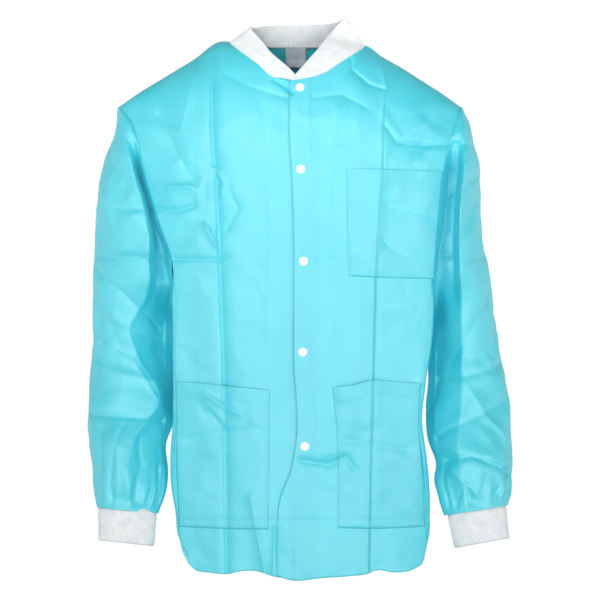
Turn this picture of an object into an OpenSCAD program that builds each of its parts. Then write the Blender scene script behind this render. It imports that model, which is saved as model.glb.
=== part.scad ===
// Hip-length disposable lab jacket: nonwoven body and sleeves, rib-knit collar and cuffs, snap front.
// Millimetres. +Z is up, the front faces -Y, and the wearer's left is +X.
// The origin is the middle of the neck opening, level with the shoulders at the neck.
// Each front opens about its side seam, each sleeve rises at the shoulder and bends at the elbow.

/* [Body] */
// Half of the body's width at the front corners, where the fronts turn
front_half_w = 180; // [176:1:182]
// Distance from the neck centre to the middle of the chest
chest_front = 105; // [98:1:110]
// Distance from the neck centre to the middle of the back
back_depth = 115; // [105:1:125]
// How far the front corners lie behind the middle of the chest
front_bulge = 41; // [38:1:44]
// Length from the neck centre down to the hem
body_length = 752; // [720:5:790]
// Thickness of the fabric stand-in
fabric_t = 1.2; // [1:0.1:1.4]

/* [Shoulders and sleeves] */
// Half of the width across the shoulder tips
shoulder_half_w = 258; // [256:1:260]
// Depth of the shoulder tips below the neck
shoulder_drop = 88; // [86:1:90]
// Distance of the sleeve's turning point from the middle
sleeve_pivot_x = 239; // [238:1:241]
// Depth of the sleeve's turning point below the neck
sleeve_pivot_z = 190; // [188:1:194]
// Half of the sleeve's width, seen from the front
sleeve_half_w = 52; // [50:1:53]
// Half of the sleeve's depth, seen from the side
sleeve_half_d = 54; // [48:1:55]
// Depth of the elbow below the neck
elbow_z = 440; // [430:5:450]
// Depth of the sleeve's lower end, where the cuff is sewn on
sleeve_end_z = 660; // [645:5:675]
// How far the wrist hangs forward of the elbow
wrist_forward = 75; // [60:1:90]
// Height of the knit cuff
cuff_h = 47; // [40:1:60]

/* [Collar] */
// Half of the neck opening's width
neck_half_w = 88; // [84:1:92]
// Depth of the V at the front, below the neck centre
neck_v_depth = 50; // [46:1:54]
// Width of the knit collar band
collar_h = 38; // [32:1:40]

/* [Front fastening] */
// Number of snaps
snap_count = 5; // [4:1:6]
// Depth of the top snap below the neck centre
first_snap_z = 60; // [58:1:62]
// Distance from the top snap to the bottom one
snap_span = 511; // [480:1:520]
// Diameter of a snap cap
snap_d = 13; // [11:0.5:14]
// How far each front runs past the middle
front_overlap = 13; // [11:1:15]
// Width of the folded front edge
facing_w = 34; // [28:1:40]

/* [Pockets and hem] */
// Width of a hip pocket
hip_pocket_w = 126; // [115:1:128]
// Height of a hip pocket
hip_pocket_h = 194; // [170:2:200]
// Width of the chest pocket
chest_pocket_w = 110; // [100:1:112]
// Height of the chest pocket
chest_pocket_h = 157; // [140:1:165]
// Room inside a pocket, from its back to its front
pocket_room = 7; // [6.6:0.1:7.2]
// Depth of the folded hem
hem_h = 75; // [40:1:80]

/* [Hidden] */

AQUA = [0.49, 0.90, 0.94];
KNIT = [0.96, 0.97, 0.97];
SNAP = [0.97, 0.97, 0.97];
LABEL = [0.85, 0.89, 0.90];

gap = 0.5;                       // space between bodies that move past each other
layer = 1.0;                     // thickness of a folded-over second layer
clear = 0.2;                     // space between a snap part and the fabric
big = 900;                       // longer than anything that is cut

socket_h = 1.7;                  // height of a snap socket
stud_base_h = 0.7;               // height of a snap stud's base
under = fabric_t + layer + socket_h + stud_base_h + 3 * clear; // depth of the right front's layer

chord_r = (pow(front_half_w, 2) + pow(front_bulge, 2)) / (2 * front_bulge); // front's curve
back_bulge = 58;                 // how far the back curves forward at the sleeve's turning point
back_r = (pow(240, 2) + pow(back_bulge, 2)) / (2 * back_bulge);             // back's curve
hinge_y = front_bulge - chest_front;
waist_half_w = 166;              // half of the body's width beside the sleeves
spread = 0.7;                    // below 1, the back's outline is squarer than an ellipse
ridge_y = 5;                     // where the shoulder line lies, front to back
chest_drop = 170;                // depth at which the chest is full
blade_drop = 150;                // depth at which the back is full
crest_z = 12;                    // height of the shoulder line at the neck
sleeve_y = 15;                   // middle of the sleeve, front to back
yoke_floor = sleeve_pivot_z;     // the shoulder part is wide only above this depth
elbow_y = sleeve_y - sleeve_half_d - gap;
wrist_x = 248;
wrist_y = sleeve_y - wrist_forward;
neck_y = -5;
neck_half_d = 62;
arm_room = 76;                   // depth of the opening from the shoulder into the sleeve
step_x = front_overlap + 2;      // where the right front steps in under the left one

// ---- outlines -----------------------------------------------------------------------------

function steps(a, b, n) = [for (i = [0:n]) a + (b - a) * i / n];

// y of the front's surface at distance x from the middle, a depth i inside the fabric
function front_y(x, i) = chord_r - chest_front - sqrt(pow(chord_r - i, 2) - x * x);
function back_y(x, i) = back_depth - back_r + sqrt(pow(back_r - i, 2) - x * x);

// front of the chest at height z, which leans back towards the neck
function chest_angle(z) = z < -chest_drop ? 90 : acos((z + chest_drop) / (crest_z + chest_drop));
function chest_y(z, i) = ridge_y - (chest_front + ridge_y - i) * sin(chest_angle(z));

// outline of the body below the arms, seen from above
module tube_outline(i) {
    w = waist_half_w - i;
    d = back_depth - ridge_y - i;
    corner = front_half_w - i * 1.1;
    back = [for (a = steps(0, 180, 36))
        [w * sign(cos(a)) * pow(abs(cos(a)), spread), ridge_y + d * pow(sin(a), spread)]];
    front = [for (x = steps(-corner, corner, 46)) [x, front_y(x, i)]];
    polygon(concat(back, front));
}

// outline of the shoulders, seen from above
module yoke_outline(i) {
    w = shoulder_half_w - i;
    polygon(concat(
        [for (x = steps(-w, w, 60)) [x, front_y(x, i)]],
        [for (x = steps(w, -w, 60)) [x, back_y(x, i)]]));
}

// outline seen from the front: level neck, sloping shoulders
module shoulder_outline(i) {
    tip = shoulder_half_w - i;
    half = [[0, crest_z - i], [92, 3 - i], [150, -21 - i], [203, -50 - i * 1.1], [tip, -shoulder_drop - i * 1.1]];
    polygon(concat(half, [[tip, -yoke_floor - i], [-tip, -yoke_floor - i]],
        [for (k = [4:-1:1]) [-half[k][0], half[k][1]]]));
}

// outline seen from the side: the chest and the shoulder blades curve in to the shoulder line
module side_outline(i) {
    front = [for (a = steps(90, 0, 14))
        [ridge_y - (chest_front + ridge_y - i) * sin(a), -chest_drop + (crest_z + chest_drop - i) * cos(a)]];
    back = [for (a = steps(0, 90, 14))
        [ridge_y + (back_depth - ridge_y - i) * sin(a), -blade_drop + (crest_z + blade_drop - i) * cos(a)]];
    polygon(concat([[-chest_front + i, -big]], front, back, [[back_depth - i, -big]]));
}

// ---- tools for cutting ----------------------------------------------------------------------

// a shape drawn in the XZ plane, made as deep as the whole body or kept to its front or back
module through(y0 = -300, y1 = 300) {
    translate([0, y1, 0]) rotate([90, 0, 0]) linear_extrude(y1 - y0) children();
}

module box_xz(x0, x1, z0, z1) {
    translate([x0, z0]) square([x1 - x0, z1 - z0]);
}

// an inner surface runs on below the hem, so that a layer is open there
function open_below(i) = i > 0 ? big : 0;

// the body without its sleeves, filled in, at depth i under the outer surface
module filled_body(i) {
    intersection() {
        rotate([90, 0, 90]) linear_extrude(big, center = true) side_outline(i);
        union() {
            translate([0, 0, -body_length - open_below(i)])
                linear_extrude(body_length + open_below(i) - yoke_floor + 30 - i) tube_outline(i);
            intersection() {
                translate([0, 0, -yoke_floor + i]) linear_extrude(big) yoke_outline(i);
                through() shoulder_outline(i);
            }
        }
    }
}

// one layer of the body's fabric between two depths
module skin(outer, inner) {
    difference() {
        filled_body(outer);
        filled_body(inner);
    }
}

// room for the sleeve heads, which turn about the shoulder pivots
module sleeve_room() {
    for (s = [-1, 1])
        translate([s * sleeve_pivot_x, 150, -sleeve_pivot_z])
            rotate([90, 0, 0]) cylinder(r = sleeve_half_w + gap, h = 300, $fn = 96);
}

// the V and the neck hole
module neck_room() {
    through(-300, neck_y)
        polygon([[-neck_half_w, 0], [0, -neck_v_depth], [neck_half_w, 0], [neck_half_w, 60], [-neck_half_w, 60]]);
    translate([0, neck_y, -60]) linear_extrude(160)
        polygon([for (a = steps(0, 354, 59)) [neck_half_w * cos(a), neck_half_d * sin(a)]]);
}

// the line from the V to the front corner, above which a front stays still
top_corner_z = -168;
function parting_z(x) = -neck_v_depth + (top_corner_z + neck_v_depth) * abs(x) / front_half_w;

// ---- body that stays with the shoulders -------------------------------------------------------

module back_panel() {
    color(AQUA) difference() {
        skin(0, fabric_t);
        sleeve_room();
        neck_room();
        translate([-front_half_w - 80, -300, top_corner_z])
            cube([2 * (front_half_w + 80), 300 + ridge_y, 300]);
        translate([-big, -300, -big - 1]) cube([2 * big, 300 + hinge_y + gap * 2, 2 * big]);
    }
}

module hem_back() {
    color(AQUA) difference() {
        skin(fabric_t, fabric_t + layer);
        translate([-big, -big, -body_length + hem_h]) cube(2 * big);
        translate([-big, -big, -body_length - 2 * big]) cube(2 * big);
        translate([-big, -300, -big]) cube([2 * big, 300 + hinge_y + gap * 2 + 8, 2 * big]);
    }
}

// side is 1 for the wearer's left and -1 for the right
module front_upper(side) {
    color(AQUA) difference() {
        intersection() {
            skin(0, fabric_t);
            through(-300, ridge_y) mirror([side < 0 ? 1 : 0, 0]) polygon([
                [0, parting_z(0)], [front_half_w, top_corner_z], [front_half_w + 90, top_corner_z],
                [front_half_w + 90, 60], [0, 60]]);
        }
        sleeve_room();
        neck_room();
    }
}

module front_upper_left() {
    front_upper(1);
}

module front_upper_right() {
    front_upper(-1);
}

// ---- fronts that open -------------------------------------------------------------------------

// outline of an opening front, from its corner to past the middle
module front_outline(side, corner) {
    mirror([side < 0 ? 1 : 0, 0]) polygon([
        [0, parting_z(0) - 2 * gap],
        [-front_overlap, parting_z(front_overlap) - 2 * gap],
        [-front_overlap, -body_length],
        [corner, -body_length],
        [corner, parting_z(corner) - 2 * gap]]);
}

// one layer of a front between two depths, within x0 and x1
module front_layer(side, outer, inner, x0, x1) {
    intersection() {
        skin(outer, inner);
        through(-300, hinge_y) intersection() {
            front_outline(side, front_half_w - 1.5);
            box_xz(x0, x1, -big, 0);
        }
    }
}

module snap_holes() {
    at_snaps() cylinder(r = post_r, h = 60, center = true, $fn = 24);
}

module front_left() {
    color(AQUA) difference() {
        front_layer(1, 0, fabric_t, -big, big);
        snap_holes();
    }
}

// the right front steps in near the middle, to lie under the left one
module front_right() {
    color(AQUA) difference() {
        union() {
            front_layer(-1, 0, fabric_t, -big, -step_x);
            front_layer(-1, 0, under + fabric_t, -step_x - fabric_t, -step_x);
            front_layer(-1, under, under + fabric_t, -step_x - fabric_t, big);
        }
        snap_holes();
    }
}

module front_facing(side, depth, x0, x1) {
    color(AQUA) difference() {
        intersection() {
            front_layer(side, depth, depth + layer, x0, x1);
            through() box_xz(x0, x1, -body_length + hem_h + gap, 0);
        }
        snap_holes();
    }
}

module front_facing_left() {
    front_facing(1, fabric_t, -front_overlap, facing_w - front_overlap);
}

module front_facing_right() {
    front_facing(-1, under + fabric_t, front_overlap - facing_w, front_overlap);
}

// folded hem behind a front, from x0 at its middle edge to x1 near its corner
module front_hem(depth, x0, x1) {
    intersection() {
        skin(depth, depth + layer);
        through(-300, hinge_y) box_xz(x0, x1, -body_length, -body_length + hem_h);
    }
}

module hem_left() {
    color(AQUA) front_hem(fabric_t, -front_overlap, front_half_w - 5);
}

module hem_right() {
    color(AQUA) union() {
        front_hem(fabric_t, 5 - front_half_w, -step_x - fabric_t);
        intersection() {
            front_hem(under + fabric_t, -step_x - fabric_t, front_overlap);
            through() box_xz(-step_x - fabric_t, front_overlap, -big, 0);
        }
    }
}

// ---- snaps --------------------------------------------------------------------------------------

post_r = 1.6;
stud_r = 1.9;
socket_hole_r = 2.9;

// places its children at each snap: +Z of the child points out of the chest
module at_snaps() {
    for (k = [0:snap_count - 1]) {
        z = -first_snap_z - k * snap_span / (snap_count - 1);
        lean = z < -chest_drop ? 0
            : atan((chest_front + ridge_y) * cos(chest_angle(z)) / ((crest_z + chest_drop) * sin(chest_angle(z))));
        translate([0, chest_y(z, 0), z]) rotate([90 - lean, 0, 0]) children();
    }
}

// domed cap on the outside, with a post through the cloth
module snap_caps() {
    color(SNAP) at_snaps() union() {
        translate([0, 0, clear]) rotate_extrude($fn = 48) intersection() {
            translate([0, 2.2 - 14]) circle(r = 14, $fn = 96);
            square([snap_d / 2, 3]);
        }
        translate([0, 0, -fabric_t - layer - clear])
            cylinder(r = post_r, h = fabric_t + layer + 2 * clear + 0.4, $fn = 24);
    }
}

// ring behind the left front that grips the stud
module snap_sockets() {
    color(SNAP) at_snaps() translate([0, 0, -fabric_t - layer - clear - socket_h])
        difference() {
            cylinder(r = 5.4, h = socket_h, $fn = 48);
            translate([0, 0, -1]) cylinder(r = socket_hole_r, h = socket_h + 0.4, $fn = 32);
        }
}

// stud on the right front that presses into the socket
module snap_studs() {
    color(SNAP) at_snaps() translate([0, 0, -under + clear]) union() {
        cylinder(r = 5.2, h = stud_base_h, $fn = 48);
        cylinder(r = stud_r, h = stud_base_h + 0.95, $fn = 32);
    }
}

// flat cap inside the right front, with a post through the cloth
module snap_backs() {
    color(SNAP) at_snaps() translate([0, 0, -under - fabric_t - layer - clear]) union() {
        translate([0, 0, -1.2]) cylinder(r = 5.8, h = 1.2, $fn = 48);
        translate([0, 0, -0.2]) cylinder(r = post_r, h = fabric_t + layer + 2 * clear + 0.2, $fn = 24);
    }
}

// ---- pockets ------------------------------------------------------------------------------------

pocket_wall = 1;
hip_pocket_x = 44;               // inner edge of a hip pocket
hip_pocket_top = -484;
chest_pocket_x = 64;             // inner edge of the chest pocket
chest_pocket_top = -172;
pocket_hem_h = 24;               // height of the folded edge at a pocket's mouth

// a patch pocket: an open-topped tray whose back is the front's own fabric
module pocket(side, x, top, w, h) {
    color(AQUA) mirror([side < 0 ? 1 : 0, 0, 0]) intersection() {
        through(-300, hinge_y - 2) box_xz(x, x + w, top - h, top);
        difference() {
            filled_body(-pocket_room - pocket_wall);
            filled_body(-0.1);
            intersection() {
                filled_body(-pocket_room);
                through(-300, hinge_y)
                    box_xz(x + pocket_wall, x + w - pocket_wall, top - h + pocket_wall, top + 1);
            }
        }
    }
}

// the folded edge inside a pocket's mouth
module pocket_hem(side, x, top, w) {
    color(AQUA) mirror([side < 0 ? 1 : 0, 0, 0]) intersection() {
        through(-300, hinge_y - 2)
            box_xz(x + pocket_wall, x + w - pocket_wall, top - pocket_hem_h, top);
        difference() {
            filled_body(-pocket_room);
            filled_body(-pocket_room + 0.7);
        }
    }
}

module chest_pocket() {
    pocket(1, chest_pocket_x, chest_pocket_top, chest_pocket_w, chest_pocket_h);
}

module chest_pocket_hem() {
    pocket_hem(1, chest_pocket_x, chest_pocket_top, chest_pocket_w);
}

module hip_pocket_left() {
    pocket(1, hip_pocket_x, hip_pocket_top, hip_pocket_w, hip_pocket_h);
}

module hip_pocket_hem_left() {
    pocket_hem(1, hip_pocket_x, hip_pocket_top, hip_pocket_w);
}

module hip_pocket_right() {
    pocket(-1, hip_pocket_x, hip_pocket_top, hip_pocket_w, hip_pocket_h);
}

module hip_pocket_hem_right() {
    pocket_hem(-1, hip_pocket_x, hip_pocket_top, hip_pocket_w);
}

// ---- sleeves, drawn for the wearer's left -----------------------------------------------------

module oval(w, d) {
    polygon([for (a = steps(0, 352.5, 47)) [w * cos(a), d * sin(a)]]);
}

// the sleeve's rounded head, turned about the shoulder pivot
module sleeve_head(i) {
    rotate([90, 0, 0]) rotate_extrude($fn = 96)
        polygon([for (a = steps(-90, 90, 24)) [(sleeve_half_w - i) * cos(a), (sleeve_half_d - i) * sin(a)]]);
}

module sleeve_upper() {
    length = elbow_z - sleeve_pivot_z - gap;
    color(AQUA) translate([sleeve_pivot_x, sleeve_y, -sleeve_pivot_z]) {
        translate([0, 0, -length]) linear_extrude(length) difference() {
            oval(sleeve_half_w, sleeve_half_d);
            oval(sleeve_half_w - fabric_t, sleeve_half_d - fabric_t);
        }
        difference() {
            sleeve_head(0);
            sleeve_head(fabric_t);
            translate([-big, -big, -2 * big]) cube(2 * big);
            translate([-big, -arm_room / 2, -1]) cube([big, arm_room, big]);
        }
    }
}

// a thin oval slice of the lower sleeve, for the hulls
module slice(x, y, z, w, d) {
    translate([x, y, z]) linear_extrude(0.01) scale([1, d / w]) circle(r = w, $fn = 32);
}

fullness_x = 246;
fullness_z = -626;               // where the lower sleeve starts to gather into the cuff
lean = wrist_forward / (sleeve_end_z - elbow_z);

module filled_lower_sleeve(i) {
    fullness_y = sleeve_y + (fullness_z + elbow_z) * lean;
    hull() {
        slice(sleeve_pivot_x, sleeve_y, -elbow_z - 0.01 + i, sleeve_half_w - i, sleeve_half_d - i);
        slice(fullness_x, fullness_y, fullness_z, 52 - i, 46 - i);
    }
    hull() {
        slice(fullness_x, fullness_y, fullness_z, 52 - i, 46 - i);
        slice(wrist_x, wrist_y, -sleeve_end_z - i, 43 - i, 35 - i);
    }
}

module sleeve_lower() {
    color(AQUA) difference() {
        filled_lower_sleeve(0);
        filled_lower_sleeve(fabric_t);
    }
}

module filled_cuff(i) {
    hull() {
        slice(wrist_x, wrist_y, -sleeve_end_z - 0.02 + i, 42 - i, 34 - i);
        slice(wrist_x + 1, wrist_y - cuff_h * lean, -sleeve_end_z - cuff_h - i, 39 - i, 31 - i);
    }
}

module cuff() {
    color(KNIT) difference() {
        filled_cuff(0);
        filled_cuff(2.2);
    }
}

module sleeve_upper_left() {
    sleeve_upper();
}

module sleeve_upper_right() {
    mirror([1, 0, 0]) sleeve_upper();
}

module sleeve_lower_left() {
    sleeve_lower();
}

module sleeve_lower_right() {
    mirror([1, 0, 0]) sleeve_lower();
}

module cuff_left() {
    cuff();
}

module cuff_right() {
    mirror([1, 0, 0]) cuff();
}

// ---- collar and label ---------------------------------------------------------------------------

// the neckline from the V round the back and to the V again, t from -1 to 1
function neck_x(t) = abs(t) < 0.5 ? neck_half_w * sin(180 * t) : sign(t) * neck_half_w * (2 - 2 * abs(t));
function neck_yy(t) = abs(t) < 0.5 ? neck_y + (neck_half_d + 3) * cos(180 * t)
    : min(neck_y, chest_y(neck_z(t), -1) * sin(180 * (abs(t) - 0.5)) * 1.0);
function neck_z(t) = abs(t) < 0.5 ? -8 + 12 * pow(sin(180 * abs(t)), 2) : 4 - (neck_v_depth + 2) * (2 * abs(t) - 1);

// the band is narrower towards its two ends, which meet at the V
function band_w(t) = collar_h * min(1, 0.15 + 6 * (1 - abs(t)));
// how far round from the back towards the sides a place is, 0 to 1
function side_share(t) = sin(180 * min(abs(t), 0.5));
// the top edge from the bottom edge: upright behind, leaning in at the sides and the front
function lean_x(t) = -sign(t) * band_w(t) * (abs(t) < 0.5 ? 0.7 * side_share(t) : 0.66);
function lean_y(t) = band_w(t) * (abs(t) < 0.5 ? -0.12 * (1 - side_share(t)) : 0.5 * (abs(t) - 0.5));
function lean_z(t) = band_w(t) * (0.92 - 0.2 * side_share(t));

module collar_post(t) {
    bottom = [neck_x(t), neck_yy(t), neck_z(t)];
    top = bottom + [lean_x(t), lean_y(t), lean_z(t)];
    hull() {
        translate(bottom) sphere(r = 1.1, $fn = 8);
        translate(top) sphere(r = 1.1, $fn = 8);
    }
}

module collar() {
    ends = 0.985;
    turns = 40;
    color(KNIT) for (k = [0:turns - 1]) hull() {
        collar_post(-ends + 2 * ends * k / turns);
        collar_post(-ends + 2 * ends * (k + 1) / turns);
    }
}

label_w = 30;
label_h = 29;

module neck_label() {
    color(LABEL) intersection() {
        skin(fabric_t, fabric_t + 0.6);
        through(0, 300) box_xz(-label_w / 2, label_w / 2, -12 - label_h, -12);
    }
}

back_panel();
hem_back();
front_upper_left();
front_upper_right();
front_left();
front_right();
front_facing_left();
front_facing_right();
hem_left();
hem_right();
collar();
neck_label();
sleeve_upper_left();
sleeve_upper_right();
sleeve_lower_left();
sleeve_lower_right();
cuff_left();
cuff_right();
chest_pocket();
chest_pocket_hem();
hip_pocket_left();
hip_pocket_hem_left();
hip_pocket_right();
hip_pocket_hem_right();
snap_caps();
snap_sockets();
snap_studs();
snap_backs();
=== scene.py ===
"""Hip-length disposable lab jacket: its cloth, knit bands and snaps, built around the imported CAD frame.

Lengths in the tables are millimetres. A point is drawn where it is seen in the plane of the chest,
and seen() puts it at its real depth. The wearer's left is +X, and side is 1 there and -1 on the right."""

import math

import bpy
import numpy as np
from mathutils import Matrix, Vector


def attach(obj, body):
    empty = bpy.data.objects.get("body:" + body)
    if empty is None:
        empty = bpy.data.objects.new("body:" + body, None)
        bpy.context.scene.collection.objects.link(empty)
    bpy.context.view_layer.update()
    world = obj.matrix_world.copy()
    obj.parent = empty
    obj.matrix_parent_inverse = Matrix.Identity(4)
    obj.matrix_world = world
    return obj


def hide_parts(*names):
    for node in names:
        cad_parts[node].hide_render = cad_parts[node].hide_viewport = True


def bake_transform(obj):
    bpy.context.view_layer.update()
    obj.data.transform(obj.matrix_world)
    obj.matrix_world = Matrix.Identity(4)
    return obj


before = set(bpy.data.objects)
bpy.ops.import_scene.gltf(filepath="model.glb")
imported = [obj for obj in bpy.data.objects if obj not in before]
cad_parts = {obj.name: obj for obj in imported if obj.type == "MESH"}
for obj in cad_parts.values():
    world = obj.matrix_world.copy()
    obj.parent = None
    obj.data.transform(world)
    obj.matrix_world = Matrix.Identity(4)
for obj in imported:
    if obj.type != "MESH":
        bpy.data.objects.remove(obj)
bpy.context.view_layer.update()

MM = 0.001
LEFT, RIGHT = 1, -1
SIDE_NAME = {LEFT: "left", RIGHT: "right"}

# ---- camera plane -------------------------------------------------------------------------

CAMERA_Y, CHEST_Y, MIDDLE_Z = -4080.0, -80.0, -362.0


def seen(x, y, z):
    """The place of a point at depth y that is seen at x, z in the plane of the chest."""
    x, y, z = np.broadcast_arrays(np.asarray(x, float), np.asarray(y, float), np.asarray(z, float))
    k = (y - CAMERA_Y) / (CHEST_Y - CAMERA_Y)
    return np.stack([x * k, y, MIDDLE_Z + (z - MIDDLE_Z) * k], -1)


# ---- curves and noise ----------------------------------------------------------------------


def smooth(t):
    """A soft step from 0 to 1 while t goes from 0 to 1."""
    t = np.clip(t, 0, 1)
    return t * t * (3 - 2 * t)


def hermite(knots, values, t):
    """A smooth curve through values at knots."""
    knots, values = np.asarray(knots, float), np.asarray(values, float)
    slopes = np.gradient(values, knots, axis=0)
    t = np.clip(t, knots[0], knots[-1])
    i = np.clip(np.searchsorted(knots, t, side="right") - 1, 0, len(knots) - 2)
    h = knots[i + 1] - knots[i]
    s = (t - knots[i]) / h
    if values.ndim > 1:
        h, s = h[..., None], s[..., None]
    a = (1 + 2 * s) * (1 - s) ** 2 * values[i] + s * s * (3 - 2 * s) * values[i + 1]
    return a + h * (s * (1 - s) ** 2 * slopes[i] - s * s * (1 - s) * slopes[i + 1])


def run_length(path):
    """Distance travelled along a path, at each of its points."""
    return np.r_[0, np.cumsum(np.linalg.norm(np.diff(path, axis=0), axis=1))]


def spline(points, n, spread=None):
    """n points along a smooth curve through points."""
    p = np.asarray(points, float)
    d = run_length(p)
    t = np.linspace(0, 1, n) if spread is None else spread
    return hermite(d / d[-1], p, t)


def at_height(table, z):
    """The value at height z of a table of (z, value), listed downwards."""
    table = np.asarray(table, float)[::-1]
    return hermite(table[:, 0], table[:, 1], np.asarray(z, float))


def lattice(i, j, seed):
    """A fixed number from -1 to 1 for each pair of whole numbers, by integer hashing."""
    h = i.astype(np.uint64) * np.uint64(374761393) + j.astype(np.uint64) * np.uint64(668265263)
    h = (h + np.uint64(seed * 2654435761 % 4294967296)) & np.uint64(0xFFFFFFFF)
    for shift, factor in ((15, 2246822519), (13, 3266489917)):
        h = ((h ^ (h >> np.uint64(shift))) * np.uint64(factor)) & np.uint64(0xFFFFFFFF)
    return (h >> np.uint64(8)).astype(float) / float(0xFFFFFF) * 2 - 1


def noise2(u, v, seed):
    """Smooth noise from -1 to 1."""
    u, v = np.broadcast_arrays(np.asarray(u, float) + 4096, np.asarray(v, float) + 4096)
    i, j = np.floor(u).astype(np.int64), np.floor(v).astype(np.int64)
    a, b = smooth(u - i), smooth(v - j)
    low = lattice(i, j, seed) * (1 - a) + lattice(i + 1, j, seed) * a
    high = lattice(i, j + 1, seed) * (1 - a) + lattice(i + 1, j + 1, seed) * a
    return low * (1 - b) + high * b


def crumple(u, v, size, seed):
    """Flat facets with sharp creases between them, as in creased paper, from -1 to 1."""
    u, v = np.broadcast_arrays(np.asarray(u, float) / size, np.asarray(v, float) / size)
    u = u + 0.55 * noise2(u * 0.8, v * 0.8, seed + 1) + 4096
    v = v + 0.55 * noise2(u * 0.8, v * 0.8, seed + 2) + 4096
    skew = (u + v) * 0.3660254
    i, j = np.floor(u + skew).astype(np.int64), np.floor(v + skew).astype(np.int64)
    a, b = u + skew - i, v + skew - j
    corner, far = lattice(i, j, seed), lattice(i + 1, j + 1, seed)
    one = (1 - a) * corner + (a - b) * lattice(i + 1, j, seed) + b * far
    two = (1 - b) * corner + (b - a) * lattice(i, j + 1, seed) + a * far
    return np.where(a > b, one, two)


def distance(x, z, points):
    """Distance from a line of points."""
    best = np.full(np.broadcast(x, z).shape, 1e9)
    for (ax, az), (bx, bz) in zip(points, points[1:]):
        dx, dz = bx - ax, bz - az
        t = np.clip(((x - ax) * dx + (z - az) * dz) / (dx * dx + dz * dz), 0, 1)
        best = np.minimum(best, np.hypot(x - ax - t * dx, z - az - t * dz))
    return best


def resample(path, t):
    """Points at shares t of a path's length."""
    d = run_length(path)
    return np.stack([np.interp(t * d[-1], d, path[:, k]) for k in range(3)], -1)


def coons(top, bottom, first, last, down=None):
    """A patch between four curves: top and bottom run across, first and last run down."""
    u = np.linspace(0, 1, len(top))[None, :, None]
    v = np.linspace(0, 1, len(first))[:, None, None]
    w = v if down is None else down[:, None, None] if down.ndim == 1 else down
    across = (1 - u) * first[:, None] + u * last[:, None]
    along = (1 - w) * top[None] + w * bottom[None]
    corners = (1 - w) * ((1 - u) * top[0] + u * top[-1]) + w * ((1 - u) * bottom[0] + u * bottom[-1])
    return across + along - corners


# ---- meshes --------------------------------------------------------------------------------


def grid_faces(rows, cols, flip=False, wrap=False, keep=None):
    """Quads of a grid; wrap joins the last column to the first, keep marks the points that exist."""
    r, c = np.meshgrid(np.arange(rows - 1), np.arange(cols if wrap else cols - 1), indexing="ij")
    d = (c + 1) % cols
    quads = np.stack([r * cols + c, (r + 1) * cols + c, (r + 1) * cols + d, r * cols + d], -1)
    quads = quads.reshape(-1, 4)
    if keep is not None:
        quads = quads[keep.reshape(-1)[quads].all(1)]
    return quads[:, ::-1] if flip else quads


def make_mesh(name, points, faces, uv, material, thick=0.0, offset=-1.0):
    """A mesh piece from points in millimetres, with uv in millimetres too."""
    points, uv = np.asarray(points, float).reshape(-1, 3), np.asarray(uv, float).reshape(-1, 2)
    used = np.unique(faces)
    index = np.zeros(len(points), int)
    index[used] = np.arange(len(used))
    points, uv, faces = points[used], uv[used], index[faces]
    mesh = bpy.data.meshes.new(name)
    mesh.vertices.add(len(points))
    mesh.vertices.foreach_set("co", (points * MM).ravel())
    mesh.loops.add(faces.size)
    mesh.loops.foreach_set("vertex_index", faces.ravel())
    mesh.polygons.add(len(faces))
    mesh.polygons.foreach_set("loop_start", np.arange(0, faces.size, faces.shape[1]))
    mesh.polygons.foreach_set("use_smooth", np.ones(len(faces), bool))
    layer = mesh.uv_layers.new(name="cloth")
    mesh.update(calc_edges=True)
    layer = mesh.uv_layers["cloth"]
    layer.data.foreach_set("uv", (uv[faces.ravel()] * MM).ravel())
    mesh.validate()
    mesh.materials.append(material)
    obj = bpy.data.objects.new(name, mesh)
    bpy.context.scene.collection.objects.link(obj)
    if thick:
        shell = obj.modifiers.new("thickness", "SOLIDIFY")
        shell.thickness, shell.offset = thick * MM, offset
        shell.use_even_offset = False
        settle(obj)
    return obj


def settle(obj):
    """Apply an object's modifiers to its mesh."""
    bpy.context.view_layer.update()
    done = bpy.data.meshes.new_from_object(obj.evaluated_get(bpy.context.evaluated_depsgraph_get()))
    obj.modifiers.clear()
    obj.data = done
    return obj


def join_grids(parts):
    """One set of points, uv and faces from several (points, uv, faces)."""
    start, points, uvs, faces = 0, [], [], []
    for p, uv, f in parts:
        p = np.asarray(p, float).reshape(-1, 3)
        points.append(p)
        uvs.append(np.asarray(uv, float).reshape(-1, 2))
        faces.append(f + start)
        start += len(p)
    return np.concatenate(points), np.concatenate(uvs), np.concatenate(faces)


# ---- materials -----------------------------------------------------------------------------


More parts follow.
